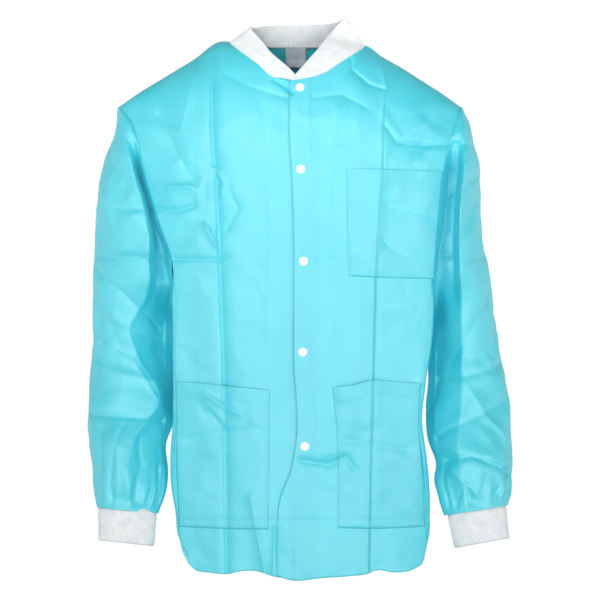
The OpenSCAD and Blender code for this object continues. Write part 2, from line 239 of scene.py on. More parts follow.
class Nodes:
    """A material's node tree, with short calls to add nodes to it."""

    def __init__(self, name):
        self.material = bpy.data.materials.new(name)
        self.material.use_nodes = True
        self.tree = self.material.node_tree
        self.tree.nodes.clear()
        self.shader = self.add("ShaderNodeBsdfPrincipled")
        self.out = self.add("ShaderNodeOutputMaterial")
        self.link(self.shader.outputs["BSDF"], self.out.inputs["Surface"])

    def add(self, kind, **values):
        node = self.tree.nodes.new(kind)
        for key, value in values.items():
            setattr(node, key, value)
        return node

    def link(self, a, b):
        self.tree.links.new(a, b)

    def put(self, socket, value):
        if isinstance(value, bpy.types.NodeSocket):
            self.link(value, socket)
        else:
            socket.default_value = value

    def math(self, operation, a, b=0.0, c=0.0):
        node = self.add("ShaderNodeMath", operation=operation)
        for socket, value in zip(node.inputs, (a, b, c)):
            self.put(socket, value)
        return node.outputs[0]

    def split(self, vector):
        """The three parts of a vector."""
        node = self.add("ShaderNodeSeparateXYZ")
        self.link(vector, node.inputs[0])
        return node.outputs

    def wave(self, value):
        return self.math("SINE", self.math("MULTIPLY", value, math.tau))

    def uv(self, scale, turn=0.0):
        place = self.add("ShaderNodeMapping")
        place.inputs["Scale"].default_value = (scale[0], scale[1], 1)
        place.inputs["Rotation"].default_value = (0, 0, turn)
        self.link(self.add("ShaderNodeUVMap", uv_map="cloth").outputs["UV"], place.inputs["Vector"])
        return place.outputs["Vector"]

    def noise(self, vector, scale, detail=3.0, rough=0.55):
        node = self.add("ShaderNodeTexNoise")
        self.link(vector, node.inputs["Vector"])
        node.inputs["Scale"].default_value = scale
        node.inputs["Detail"].default_value = detail
        node.inputs["Roughness"].default_value = rough
        return node.outputs["Fac"]

    def between(self, value, low, high, to_low=0.0, to_high=1.0):
        node = self.add("ShaderNodeMapRange", interpolation_type="SMOOTHSTEP")
        for key, number in (("From Min", low), ("From Max", high), ("To Min", to_low), ("To Max", to_high)):
            node.inputs[key].default_value = number
        self.link(value, node.inputs["Value"])
        return node.outputs["Result"]

    def mix(self, factor, a, b):
        node = self.add("ShaderNodeMix", data_type="RGBA")
        self.put(node.inputs[0], factor)
        self.put(node.inputs[6], a)
        self.put(node.inputs[7], b)
        return node.outputs[2]

    def bump(self, height, distance_mm, strength=1.0, under=None):
        node = self.add("ShaderNodeBump")
        node.inputs["Strength"].default_value = strength
        node.inputs["Distance"].default_value = distance_mm * MM
        self.link(height, node.inputs["Height"])
        if under is not None:
            self.link(under, node.inputs["Normal"])
        return node.outputs["Normal"]

    def finish(self, colour, roughness, normal=None, **constants):
        self.put(self.shader.inputs["Base Color"], colour)
        self.put(self.shader.inputs["Roughness"], roughness)
        if normal is not None:
            self.link(normal, self.shader.inputs["Normal"])
        for key, value in constants.items():
            self.shader.inputs[key.replace("_", " ")].default_value = value
        return self.material


def srgb(*levels):
    """A colour read as levels from 0 to 255, in the linear values that shaders take."""
    linear = [c / 255 / 12.92 if c <= 10 else ((c / 255 + 0.055) / 1.055) ** 2.4 for c in levels]
    return (*linear, 1.0)


DOT_PITCH = 2.9                  # between the point bonds of the nonwoven


def nonwoven(name, main, shade, light, dot_tone=0.35, bands=()):
    """Spunbond cloth: fused diamond dots, loose fibre, and a web of uneven thickness.

    The dots show most in the bands, each from one distance across the cloth to another."""
    n = Nodes(name)
    turned = n.split(n.uv((1 / (DOT_PITCH * MM), 1 / (DOT_PITCH * MM)), math.radians(45)))
    a, b = (n.math("ABSOLUTE", n.math("SUBTRACT", n.math("FRACT", turned[k]), 0.5)) for k in (0, 1))
    dots = n.between(n.math("MAXIMUM", a, b), 0.17, 0.27, 1.0, 0.0)
    flat = n.uv((1, 1))
    web = n.noise(flat, 26, 4.0)
    cloud = n.noise(flat, 7, 2.0)
    fibre = n.noise(n.uv((900, 2600)), 1.0, 2.0, 0.6)
    colour = n.mix(n.between(web, 0.32, 0.68), main, light)
    colour = n.mix(n.math("MULTIPLY", n.between(cloud, 0.4, 0.62), 0.35), colour, shade)
    colour = n.mix(n.math("MULTIPLY", n.between(n.noise(flat, 380, 2.0), 0.4, 0.62), 0.3), colour, shade)
    across = n.split(flat)[0]
    tone = dot_tone
    for low, high in bands:
        inside = n.math("MULTIPLY", n.between(across, (low - 1) * MM, (low + 1) * MM),
                        n.between(across, (high - 2) * MM, (high + 2) * MM, 1.0, 0.0))
        tone = n.math("MAXIMUM", tone, n.math("MULTIPLY", inside, 0.95))
    colour = n.mix(n.math("MULTIPLY", dots, tone), colour, srgb(2, 176, 198))
    rough = n.math("SUBTRACT", n.between(web, 0.2, 0.8, 0.5, 0.62), n.math("MULTIPLY", dots, 0.1))
    wrinkle = n.noise(n.uv((1, 0.7)), 95, 5.0, 0.6)
    normal = n.bump(wrinkle, 0.9, 0.6)
    normal = n.bump(fibre, 0.05, 0.5, normal)
    normal = n.bump(n.math("SUBTRACT", 1.0, dots), 0.12, 0.7, normal)
    return n.finish(colour, rough, normal, Sheen_Weight=0.05, Sheen_Roughness=0.5, IOR=1.85,
                    Specular_IOR_Level=0.9)


LOOP_WIDTH, LOOP_HEIGHT = 1.1, 1.3       # one loop of the knit


def rib_knit(name):
    """Knit of the collar and cuffs: loops in rows and columns, with a little fuzz, and painted shade in the
    hollows between the loops.
    """
    n = Nodes(name)
    flat = n.uv((1, 1))
    loops = n.split(n.uv((1 / (LOOP_WIDTH * MM), 1 / (LOOP_HEIGHT * MM))))
    stitch = n.math("MULTIPLY", n.math("ADD", n.wave(loops[1]), n.wave(loops[0])), 0.25)
    fuzz = n.noise(flat, 2200, 2.0)
    tone = n.noise(flat, 60, 3.0)
    colour = n.mix(n.between(tone, 0.3, 0.7), srgb(226, 232, 233), srgb(240, 243, 243))
    # painted shade: the colour darkens where the loops' height is low, in the hollows between them
    colour = n.mix(n.between(stitch, -0.5, 0.1, 0.25, 0.0), colour, srgb(184, 198, 200))
    normal = n.bump(n.math("ADD", stitch, n.math("MULTIPLY", fuzz, 0.6)), 0.25, 0.8)
    rough = n.between(fuzz, 0.2, 0.8, 0.7, 0.88)
    return n.finish(colour, rough, normal, Sheen_Weight=0.3, Sheen_Roughness=0.5)


def snap_plastic(name):
    n = Nodes(name)
    where = n.add("ShaderNodeTexCoord").outputs["Object"]
    speckle = n.noise(where, 420, 3.0)
    colour = n.mix(n.between(speckle, 0.35, 0.7), srgb(240, 244, 245), srgb(252, 253, 253))
    normal = n.bump(n.noise(where, 900, 2.0), 0.04, 0.4)
    return n.finish(colour, n.between(speckle, 0.2, 0.8, 0.22, 0.34), normal, Specular_IOR_Level=0.5)


TAPE_PITCH = 0.55                # between the threads of the label's tape


def woven_tape(name):
    n = Nodes(name)
    threads = n.split(n.uv((1 / (TAPE_PITCH * MM), 1 / (TAPE_PITCH * MM))))
    weave = n.math("MULTIPLY", n.wave(threads[0]), n.wave(threads[1]))
    tone = n.noise(n.uv((1, 1)), 90, 3.0)
    colour = n.mix(n.between(tone, 0.3, 0.7), srgb(205, 216, 222), srgb(224, 232, 236))
    # painted shade: the colour darkens where the weave's height is low, between the crossing threads
    colour = n.mix(n.between(weave, -0.6, 0.4, 0.2, 0.0), colour, srgb(170, 184, 192))
    return n.finish(colour, n.between(tone, 0.2, 0.8, 0.45, 0.6), n.bump(weave, 0.08, 0.7), Sheen_Weight=0.15)


def sewing_thread(name, colour_a, colour_b):
    n = Nodes(name)
    where = n.add("ShaderNodeTexCoord").outputs["Object"]
    twist = n.noise(where, 1900, 2.0)
    colour = n.mix(n.between(twist, 0.3, 0.7), colour_a, colour_b)
    return n.finish(colour, n.between(twist, 0.2, 0.8, 0.5, 0.7), n.bump(twist, 0.08, 0.6), Sheen_Weight=0.2)


TONES = srgb(46, 213, 229), srgb(14, 206, 225), srgb(70, 219, 233)
AQUA = nonwoven("nonwoven_aqua", *TONES)
AQUA_DOUBLE = nonwoven("nonwoven_doubled", *TONES, dot_tone=0.85)
AQUA_FRONT = nonwoven("nonwoven_front", *TONES, bands=[(-16, 27), (84, 112), (-150, -117)])
KNIT = rib_knit("rib_knit_white")
SNAP = snap_plastic("snap_white")
TAPE = woven_tape("label_tape")
THREAD = sewing_thread("aqua_thread", srgb(72, 196, 212), srgb(106, 216, 230))
WHITE_THREAD = sewing_thread("white_thread", srgb(228, 236, 238), srgb(246, 249, 249))

# ---- the fronts ----------------------------------------------------------------------------

RIDGE_Y = 5.0                    # where the shoulder seam lies, front to back
CHEST_FULL = -170.0              # below this height the chest no longer leans back
CHORD_R = (180.0 ** 2 + 41.0 ** 2) / 82.0
CHEST_FRONT = -105.0
UNDERARM_Z = -303.0
HEM_STITCH_Z = -674.0

OUTLINE = {
    LEFT: {
        "edge": [(-15, -49), (-15, -130), (-12, -177), (-9, -262), (-8.5, -447), (-6, -570), (-13, -605),
                 (-28, -645), (-33, -692), (-33, -754)],
        "top": [(-15, -49), (-4, -47), (12, -44), (33, -38), (55, -24), (75, -11), (92, -1), (117, -17),
                (142, -31), (172, -50), (203, -70), (228, -88)],
        "side": [(228, -88), (224, -104), (214, -131), (206, -170), (202, -205), (199, -237), (194, -275),
                 (189, -305), (186, -346), (180, -433), (173, -483), (168, -533), (175, -604), (180, -675),
                 (178, -722), (173, -738)],
        "hem": [(-33, -754), (-14, -760), (32, -757), (73, -754), (96, -751), (108, -746), (133, -749),
                (158, -746), (173, -738)],
        "ridge": [(0, 14), (50, 8), (92, -1), (117, -17), (142, -31), (172, -50), (203, -70), (228, -88),
                  (262, -114)],
    },
    RIGHT: {
        "edge": [(13, -54), (13, -300), (13, -520), (13, -754)],
        "top": [(13, -54), (0, -49), (-12, -46), (-37, -43), (-60, -25), (-80, -10), (-97, 4), (-111, 5),
                (-150, -20), (-199, -50), (-230, -69), (-257, -88)],
        "side": [(-257, -88), (-243, -104), (-231, -136), (-223, -178), (-211, -218), (-197, -262),
                 (-183, -300), (-178, -340), (-177, -450), (-177, -547), (-180, -604), (-178, -646),
                 (-173, -675), (-167, -719), (-158, -737)],
        "hem": [(13, -754), (-14, -757), (-36, -755), (-63, -747), (-82, -747), (-101, -751), (-130, -749),
                (-148, -746), (-158, -737)],
        "ridge": [(0, 14), (60, 10), (97, 4), (111, 5), (150, -20), (199, -50), (230, -69), (257, -88),
                  (280, -104)],
    },
}

# pressed folds: points, height (below 0 is a groove), half width
CREASES = [
    ([(-127, -9), (-124, -152), (-119, -192), (-118, -222), (-114, -330), (-109, -447),
      (-105, -755)], -3.2, 1.7),
    ([(119, -20), (126, -61), (121, -90), (118, -174), (111, -276), (108, -346), (106, -447), (102, -600),
      (99, -755)], -2.2, 1.6),
    ([(-124, -9), (-121, -152), (-116, -192), (-115, -222), (-111, -330), (-106, -447),
      (-102, -755)], -4.0, 8),
    ([(116, -20), (123, -61), (118, -90), (115, -174), (108, -276), (105, -346), (103, -447), (99, -600),
      (96, -755)], 4.2, 9),
    ([(112, -300), (107, -447), (103, -600), (101, -755)], -2.4, 5),
    ([(120, -113), (138, -138), (175, -143), (212, -141)], -3.6, 5),
    ([(73, -20), (74, -36), (99, -56), (120, -63)], -3.0, 4),
    ([(-187, -201), (-152, -201)], 3.0, 5),
    ([(-205, -232), (-176, -236), (-150, -229)], -3.2, 5),
    ([(-121, -176), (-108, -196), (-112, -214)], 3.4, 4),
    ([(-100, -205), (-88, -232), (-104, -262)], -2.6, 5),
    ([(-135, -257), (-119, -284)], 3.4, 5),
    ([(-180, -304), (-121, -305), (-104, -300)], -3.2, 4),
    ([(20, -302), (100, -304)], -1.0, 5),
    ([(0, -590), (40, -596), (66, -585), (77, -601)], -3.6, 5),
    ([(-134, -497), (-110, -512), (-88, -523)], 3.6, 5),
    ([(-128, -520), (-106, -548)], -3.0, 5),
    ([(-70, -640), (-60, -700), (-48, -756)], 4.6, 9),
    ([(-36, -690), (-38, -756)], -3.6, 7),
    ([(60, -560), (150, -575)], -1.8, 7),
    ([(-160, -560), (-80, -548)], -1.8, 7),
    ([(-37, -49), (-24, -57), (-12, -68)], -4.5, 2.6),
    ([(-60, -90), (-40, -230), (-46, -400)], 1.8, 14),
    ([(52, -90), (40, -260), (48, -420)], 1.8, 14),
    ([(-200, -100), (-165, -170), (-150, -200)], -2.6, 10),
    ([(190, -110), (160, -165)], -2.2, 10),
    ([(-150, -40), (-170, -120)], 2.0, 12),
    ([(20, -75), (60, -70), (96, -90)], -1.6, 8),
    ([(-20, -75), (-70, -60), (-110, -40)], -1.4, 9),
]


def bump_at(x, z, cx, cz, rx, rz):
    """A soft mound of height 1 at cx, cz."""
    return np.exp(-((x - cx) / rx) ** 2 - ((z - cz) / rz) ** 2)


def relief(x, z):
    """How far folds and creases raise the front towards the viewer."""
    h = np.zeros(np.broadcast(x, z).shape)
    for points, height, width in CREASES:
        d = distance(x, z, points)
        h = h + 1.5 * height * np.exp(-np.hypot(d, 0.5) / (0.8 * width))
    low = smooth((-z - 120) / 200)
    h += low * (1.6 * noise2(x / 62, z / 260, 5) + 0.9 * noise2(x / 30, z / 110, 8))
    hem = smooth((-z - 640) / 110)
    h += hem * 3.2 * noise2(x / 34 + 3, z / 400, 21)
    rough = (0.55 + 1.3 * bump_at(x, z, -112, -512, 44, 34) + 0.9 * bump_at(x, z, -150, -215, 50, 60)
             + 0.8 * bump_at(x, z, 165, -130, 60, 50) + 0.6 * bump_at(x, z, 60, -590, 60, 40))
    h += rough * (2.8 * crumple(x, z, 58, 11) + 1.4 * crumple(x, z, 25, 14))
    return h


def ridge_z(x, side):
    """Height of the shoulder seam as seen at x."""
    ridge = np.asarray(OUTLINE[side]["ridge"], float)
    return hermite(ridge[:, 0], ridge[:, 1], np.clip(side * x, 0, ridge[-1, 0]))


def chest_y(x, z, side):
    """Depth of the smooth front: an arc across, which leans back to the shoulder seam."""
    full = CHORD_R + CHEST_FRONT - np.sqrt(CHORD_R ** 2 - np.clip(np.abs(x), 0, 290) ** 2)
    top = ridge_z(x, side)
    t = np.clip((top - z) / (top - CHEST_FULL), 0, 1)
    return RIDGE_Y - (RIDGE_Y - full) * np.sqrt(np.clip(1 - (1 - t) ** 2, 0, 1))


def below_ridge(x, z, side):
    """0 on the shoulder seam and 1 from 25 mm below it, so that the relief fades out at the seam."""
    return smooth((ridge_z(x, side) - z) / 25)


LAYER_STEP = 4.0                 # how far the right front lies behind the left one where they overlap


def front_y(x, z, side, behind=0.0):
    """Depth of a front's surface, or of a layer that lies that far behind it."""
    y = chest_y(x, z, side) - relief(x, z) * below_ridge(x, z, side)
    if side == RIGHT:
        y = y + LAYER_STEP * smooth((x + 44) / 28)
    else:
        edge = at_height([(z_, x_) for x_, z_ in OUTLINE[LEFT]["edge"]], z)
        y = y + 0.3 * np.exp(-((x - edge) / 4) ** 2) - 0.7 * np.exp(-((x - edge - 27) / 3.0) ** 2)
    y = y + 0.9 * np.exp(-((z - HEM_STITCH_Z) / 2.2) ** 2)
    return y + behind


def front_point(x, z, side, behind=0.0):
    return seen(x, front_y(x, z, side, behind), z)


FRONT_ROWS, FRONT_COLS = 330, 150


def front_grid(side):
    """The front's points as seen: x and z, in rows downward and columns across."""
    o = OUTLINE[side]
    rows = np.linspace(0, 1, FRONT_ROWS) ** 1.2
    cols = np.linspace(0, 1, FRONT_COLS)
    xz = coons(spline(o["top"], FRONT_COLS, cols), spline(o["hem"], FRONT_COLS, cols),
               spline(o["edge"], FRONT_ROWS, rows), spline(o["side"], FRONT_ROWS, rows), rows)
    return xz[..., 0], xz[..., 1]


front_sheets, front_edges, seen_fronts = {}, {}, {}
for side in (LEFT, RIGHT):
    gx, gz = front_grid(side)
    gy = front_y(gx, gz, side)
    points = seen(gx, gy, gz)
    faces = grid_faces(FRONT_ROWS, FRONT_COLS, side < 0)
    front_sheets[side] = make_mesh(f"{SIDE_NAME[side]}_front_sheet", points, faces,
                                   np.stack([gx, gz], -1), AQUA_FRONT, 0.5)
    front_edges[side] = {"side": points[:, -1], "top": points[0], "hem": points[-1]}
    seen_fronts[side] = np.stack([gx[:, -1], gy[:, -1], gz[:, -1]], -1)


def strip_on_front(name, side, first, last, n_rows=180, n_cols=14):
    """A folded layer behind a front, between two seen curves."""
    a, b = spline(first, n_rows), spline(last, n_rows)
    t = np.linspace(0, 1, n_cols)[None, :, None]
    xz = a[:, None] * (1 - t) + b[:, None] * t
    points = front_point(xz[..., 0], xz[..., 1], side, FOLD_BEHIND)
    turned = (b - a)[:, 0].mean() < 0
    return make_mesh(name, points, grid_faces(n_rows, n_cols, turned), xz, AQUA, 0.4)


FACING = {
    LEFT: ([(-13, -56), (-13, -130), (-10, -177), (-7, -262), (-6.5, -447), (-4, -570), (-11, -605),
            (-26, -645), (-29, -672)],
           [(19, -48), (19, -130), (22, -177), (25, -262), (26, -447), (28, -570), (22, -605), (8, -645),
            (4, -672)]),
    RIGHT: ([(-22, -50), (-22, -300), (-22, -672)], [(11, -58), (11, -300), (11, -672)]),
}
HEM_STRIP = {
    LEFT: ([(-30, -677), (60, -677), (178, -677)], [(-30, -752), (60, -751), (172, -738)]),
    RIGHT: ([(-171, -677), (-60, -677), (11, -677)], [(-158, -735), (-60, -745), (11, -752)]),
}
FOLD_BEHIND = 1.1                # how far a folded layer lies behind the front's surface
HEM_ROWS, HEM_COLS = 22, 80
facings, hems = {}, {}
for side in (LEFT, RIGHT):
    facings[side] = strip_on_front(f"{SIDE_NAME[side]}_front_facing", side, *FACING[side])
    fold_line, hem_line = (spline(line, HEM_COLS)[None] for line in HEM_STRIP[side])
    t = np.linspace(0, 1, HEM_ROWS)[:, None, None]
    xz = fold_line * (1 - t) + hem_line * t
    points = front_point(xz[..., 0], xz[..., 1], side, FOLD_BEHIND)
    faces = grid_faces(HEM_ROWS, HEM_COLS)
    hems[side] = make_mesh(f"{SIDE_NAME[side]}_front_hem", points, faces, xz, AQUA, 0.4)

# ---- pockets --------------------------------------------------------------------------------

# seen outlines of four sides, and how far the mouth gapes; folds are in shares across and down, with heights
POCKETS = {
    "chest_pocket": dict(side=LEFT, nodes=("chest_pocket", "chest_pocket_hem"),
                         inner=[(66, -174), (67, -240), (69, -328)],
                         outer=[(203, -179), (198, -235), (192, -307), (190, -332)],
                         mouth=[(66, -174), (113, -176), (160, -178), (203, -179)],
                         bottom=[(69, -328), (128, -331), (190, -332)], gape=2.0, gape_at=0.5,
                         folds=[([(0.38, 0.27), (0.46, 0.33), (0.98, 0.4)], -2.4),
                                ([(0.4, 0.64), (0.52, 0.72), (0.98, 0.86)], -2.4),
                                ([(0.37, 0.0), (0.33, 1.0)], 1.6)]),
    "left_hip_pocket": dict(side=LEFT, nodes=("hip_pocket_left", "hip_pocket_hem_left"),
                            inner=[(46, -485), (52, -545), (54, -686)],
                            outer=[(172, -480), (169, -533), (174, -604), (178, -684)],
                            mouth=[(46, -485), (74, -483), (103, -476), (140, -478), (172, -480)],
                            bottom=[(54, -686), (110, -687), (178, -684)], gape=7.0, gape_at=0.3),
    "right_hip_pocket": dict(side=RIGHT, nodes=("hip_pocket_right", "hip_pocket_hem_right"),
                             inner=[(-43, -489), (-44, -580), (-45, -688)],
                             outer=[(-176, -478), (-176, -580), (-172, -684)],
                             mouth=[(-43, -489), (-75, -487), (-106, -484), (-140, -480), (-176, -478)],
                             bottom=[(-45, -688), (-110, -687), (-172, -684)], gape=3.5, gape_at=0.55),
}


def pocket_depth(pocket, u, v, behind):
    """Depth of a pocket against the front at u across and v down, or of a layer that far behind it."""
    folds = 0.0
    for points, height in pocket.get("folds", ()):
        folds = folds + height * np.exp(-distance(u, v, points) / 0.045)
    bow = np.exp(-((u - pocket["gape_at"]) / 0.32) ** 2) * np.exp(-v * 5.5) * pocket["gape"]
    hug = np.minimum(np.minimum(u, 1 - u) * 12, 1) * np.minimum((1 - v) * 14, 1)
    return -(0.55 + (0.9 + bow) * hug) - (0.9 * crumple(u * 110, v * 160, 36, 31) + folds) * hug + behind


POCKET_LENGTH, MOUTH_HEM = 200, 26
# where a pocket's stitch lines run, as shares across and down
SEAM_IN, SEAM_LOW, MOUTH_SEAM = 4.0 / 130, 1 - 3.0 / 190, 19.0 / 190
N_STITCH_POINTS = 160
pockets, pocket_hems, pocket_stitches = {}, {}, {LEFT: [], RIGHT: []}
for name, pocket in POCKETS.items():
    side = pocket["side"]
    n_u, n_v = 56, 72
    u, v = np.meshgrid(np.linspace(0, 1, n_u), np.linspace(0, 1, n_v) ** 1.2, indexing="xy")
    xz = coons(spline(pocket["mouth"], n_u), spline(pocket["bottom"], n_u),
               spline(pocket["inner"], n_v, v[:, 0]), spline(pocket["outer"], n_v, v[:, 0]), v[:, 0])
    points = front_point(xz[..., 0], xz[..., 1], side, pocket_depth(pocket, u, v, 0))
    pockets[name] = make_mesh(name + "_sheet", points, grid_faces(n_v, n_u, side < 0), xz, AQUA_DOUBLE, 0.4)
    fold = v[:, 0] < MOUTH_HEM / POCKET_LENGTH
    depth = pocket_depth(pocket, u[fold], v[fold], 0.45)
    inside = front_point(xz[fold][..., 0], xz[fold][..., 1], side, depth)
    pocket_hems[name] = make_mesh(name + "_mouth_hem", inside, grid_faces(int(fold.sum()), n_u, side < 0),
                                  xz[fold], AQUA, 0.35)
    down = np.linspace(0.01, SEAM_LOW, N_STITCH_POINTS)
    over = np.linspace(SEAM_IN, 1 - SEAM_IN, N_STITCH_POINTS)
    for lu, lv in ((SEAM_IN, down), (1 - SEAM_IN, down), (over, SEAM_LOW), (over, MOUTH_SEAM)):
        lu, lv = np.broadcast_arrays(lu, lv)
        iu, iv = lu * (n_u - 1), np.interp(lv, v[:, 0], np.arange(n_v))
        i0, j0 = np.minimum(iu.astype(int), n_u - 2), np.minimum(iv.astype(int), n_v - 2)
        fu, fv = (iu - i0)[:, None], (iv - j0)[:, None]
        path = ((points[j0, i0] * (1 - fu) + points[j0, i0 + 1] * fu) * (1 - fv)
                + (points[j0 + 1, i0] * (1 - fu) + points[j0 + 1, i0 + 1] * fu) * fv)
        pocket_stitches[side].append(path)

# ---- stitches -------------------------------------------------------------------------------


def dashes(paths, normal=(0, -1, 0), length=2.9, step=3.7, radius=0.28, lift=0.12):
    """Points, uv and faces of sewn stitches, each a short rounded thread, along lines of points."""
    ring = np.linspace(0, math.tau, 6, endpoint=False)
    along = np.array([-0.5, -0.38, 0.0, 0.38, 0.5])
    fat = np.array([0.15, 0.85, 1.0, 0.85, 0.15])
    sink = np.array([-0.6, -0.1, 0.25, -0.1, -0.6])
    points, n = [], np.asarray(normal, float)
    for path in paths:
        path = np.asarray(path, float)
        d = run_length(path)
        for s in np.arange(step / 2, d[-1] - step / 2, step):
            ends = (s - length / 2, s + length / 2)
            a, b = (np.array([np.interp(q, d, path[:, k]) for k in range(3)]) for q in ends)
            t = (b - a) / max(np.linalg.norm(b - a), 1e-9)
            out = n - t * (n @ t)
            out /= np.linalg.norm(out)
            across = np.cross(t, out)
            middle = (a + b) / 2
            centre = middle + (b - a) * along[:, None] + out * (lift + sink[:, None] * radius)
            circle = np.cos(ring)[None, :, None] * across + np.sin(ring)[None, :, None] * out
            points.append((centre[:, None] + circle * radius * fat[:, None, None]).reshape(-1, 3))
    one = grid_faces(5, 6, wrap=True)
    p = np.concatenate(points)
    f = np.concatenate([one + 30 * i for i in range(len(points))])
    return p, p[:, [0, 2]], f


def stitch_mesh(name, rows, material):
    """A piece of thread from one or more sets of dashes."""
    p, uv, f = join_grids(rows)
    return make_mesh(name, p, f, uv, material)


stitching = {}
for side in (LEFT, RIGHT):
    x0, x1 = (-30, 178) if side == LEFT else (-172, -17)
    xs = np.linspace(x0, x1, N_STITCH_POINTS)
    lines = [front_point(xs, np.full(N_STITCH_POINTS, HEM_STITCH_Z), side, -0.15)] + pocket_stitches[side]
    stitching[side] = stitch_mesh(f"{SIDE_NAME[side]}_front_stitching", [dashes(lines)], THREAD)

# ---- snaps ----------------------------------------------------------------------------------

SNAP_SPOTS = [(0, -60), (1, -176), (5, -307), (4, -436), (7, -570)]


def lathe(profile, segments=40):
    """Points and faces of a turned shape, from (radius, height) pairs, axis +Z."""
    profile = np.asarray(profile, float)
    a = np.linspace(0, math.tau, segments, endpoint=False)
    r, h = profile[:, 0][:, None], profile[:, 1][:, None]
    points = np.stack([r * np.cos(a), r * np.sin(a), np.broadcast_to(h, (len(profile), segments))], -1)
    return points, grid_faces(len(profile), segments, wrap=True)


def at_snaps(name, profile, depth):
    """The same turned shape at each snap, facing out of the cloth, at a depth behind it."""
    parts = []
    shape, faces = lathe(profile)
    for x, z in SNAP_SPOTS:
        e = 4.0
        p, px, pz = (front_point(x + dx, z + dz, LEFT, 0.0) for dx, dz in ((0, 0), (e, 0), (0, e)))
        px0, pz0 = front_point(x - e, z, LEFT, 0.0), front_point(x, z - e, LEFT, 0.0)
        tx, tz = (px - px0) / np.linalg.norm(px - px0), (pz - pz0) / np.linalg.norm(pz - pz0)
        out = np.cross(tx, tz)
        out /= np.linalg.norm(out)
        turned = (p - out * depth + shape[..., :1] * tx + shape[..., 1:2] * np.cross(out, tx)
                  + shape[..., 2:] * out)
        parts.append((turned, shape[..., :2], faces))
    p, uv, f = join_grids(parts)
    return make_mesh(name, p, f, uv, SNAP)


# outlines of the snap's four parts, as (radius, height)
CAP = [(0.01, 1.55), (1.6, 1.5), (2.4, 1.42), (2.7, 1.62), (3.1, 1.85), (3.9, 1.95), (4.9, 1.85),
       (5.7, 1.55), (6.2, 1.15), (6.45, 0.7), (6.5, 0.35), (6.4, 0.05), (6.1, -0.1), (1.6, -0.1),
       (1.6, -1.6), (0.01, -1.6)]
SOCKET = [(2.5, 0.0), (2.5, 1.45), (2.65, 1.6), (3.0, 1.7), (3.9, 1.7), (4.3, 1.5), (4.5, 1.0), (5.0, 0.9),
          (5.4, 0.6), (5.4, 0.1), (5.3, 0.0), (2.5, 0.0)]
STUD = [(0.01, 1.65), (1.0, 1.62), (1.7, 1.45), (1.95, 1.1), (1.85, 0.75), (1.8, 0.7), (3.5, 0.68),
        (4.7, 0.62), (5.1, 0.4), (5.2, 0.1), (5.1, 0.0), (0.01, 0.0)]
BACK = [(0.01, 0.9), (1.6, 0.9), (1.6, 0.0), (5.2, 0.0), (5.7, -0.25), (5.8, -0.6), (5.6, -0.95),
        (4.6, -1.15), (3.0, -1.2), (2.6, -1.05), (0.01, -1.05)]

snaps = {
    "snap_caps": (LEFT, at_snaps("snap_cap_set", CAP, 0.1)),
    "snap_sockets": (LEFT, at_snaps("snap_socket_set", [(r, -h) for r, h in SOCKET], 1.35)),
    "snap_studs": (RIGHT, at_snaps("snap_stud_set", STUD, 3.35)),
    "snap_backs": (RIGHT, at_snaps("snap_back_set", BACK, 4.95)),
}

# ---- sleeves --------------------------------------------------------------------------------

# outer and inner edge as seen, as (height, distance from the middle); slope tilts the level lines of a sleeve
SLEEVE = {
    RIGHT: dict(outer=[(-86, 258), (-112, 262), (-172, 279), (-222, 288), (-291, 291), (-362, 292),
                       (-433, 294), (-506, 299), (-588, 298), (-630, 293), (-668, 286)],
                inner=[(-86, 180), (-300, 180), (-480, 180), (-540, 181), (-562, 189), (-606, 187),
                       (-628, 190), (-668, 205)],
                slope=0.094),
    LEFT: dict(outer=[(-86, 229), (-106, 237), (-147, 249), (-181, 258), (-224, 255), (-276, 261),
                      (-346, 273), (-376, 275), (-433, 284), (-476, 293), (-547, 298), (-582, 301),
                      (-625, 301), (-668, 293)],
               inner=[(-86, 182), (-300, 183), (-480, 181), (-540, 179), (-561, 182), (-594, 193),
                      (-611, 190), (-632, 195), (-646, 199), (-668, 210)],
               slope=0.16),
}
SLEEVE_Y = 15.0
ELBOW_Z = -440.0
LEAN = 0.341                     # how far the forearm hangs forward, per length
# back seam of the armhole: height as seen, distance from the middle, depth
BACK_SEAM = [(-88, 1.0, 5), (-100, 0.965, 16), (-130, 0.90, 34), (-170, 0.85, 48), (-215, 0.80, 57),
             (-260, 0.735, 60), (-303, 0.665, 57)]
SPLIT_Z = -425.0                 # where a sleeve's upper and lower meshes meet
CUFF_SEAM_Z = -661.0
N_OUT, N_IN = 112, 40            # columns round the outside, and round the inside next to the body
SLEEVE_RADIUS, SLEEVE_GIRTH = 53, 333
SEAM_TURN = math.radians(142)    # how far round a seam lies from the outer edge, below the arm
SEAM_SHARE = 0.94                # depth of a seam as a share of the sleeve's own half depth
FRONT_HOLLOW = 34                # how far the cloth sinks in between the armhole and the pressed fold


def sleeve_middle_y(z):
    """Depth of a sleeve's middle: straight down to the elbow, then leaning forward."""
    over = np.maximum(0, ELBOW_Z + 12 - z)
    return SLEEVE_Y - LEAN * np.where(over > 24, over - 12, over * over / 48)


# distance from the middle of the pressed fold down a sleeve's front, listed downwards
SLEEVE_FOLD = {
    RIGHT: [(-86, 262), (-140, 246), (-178, 236), (-291, 212), (-362, 221), (-405, 243), (-440, 231),
            (-504, 199), (-560, 236), (-668, 244)],
    LEFT: [(-86, 234), (-130, 232), (-180, 232), (-222, 228), (-291, 226), (-362, 229), (-433, 230),
           (-504, 230), (-575, 224), (-668, 240)],
}
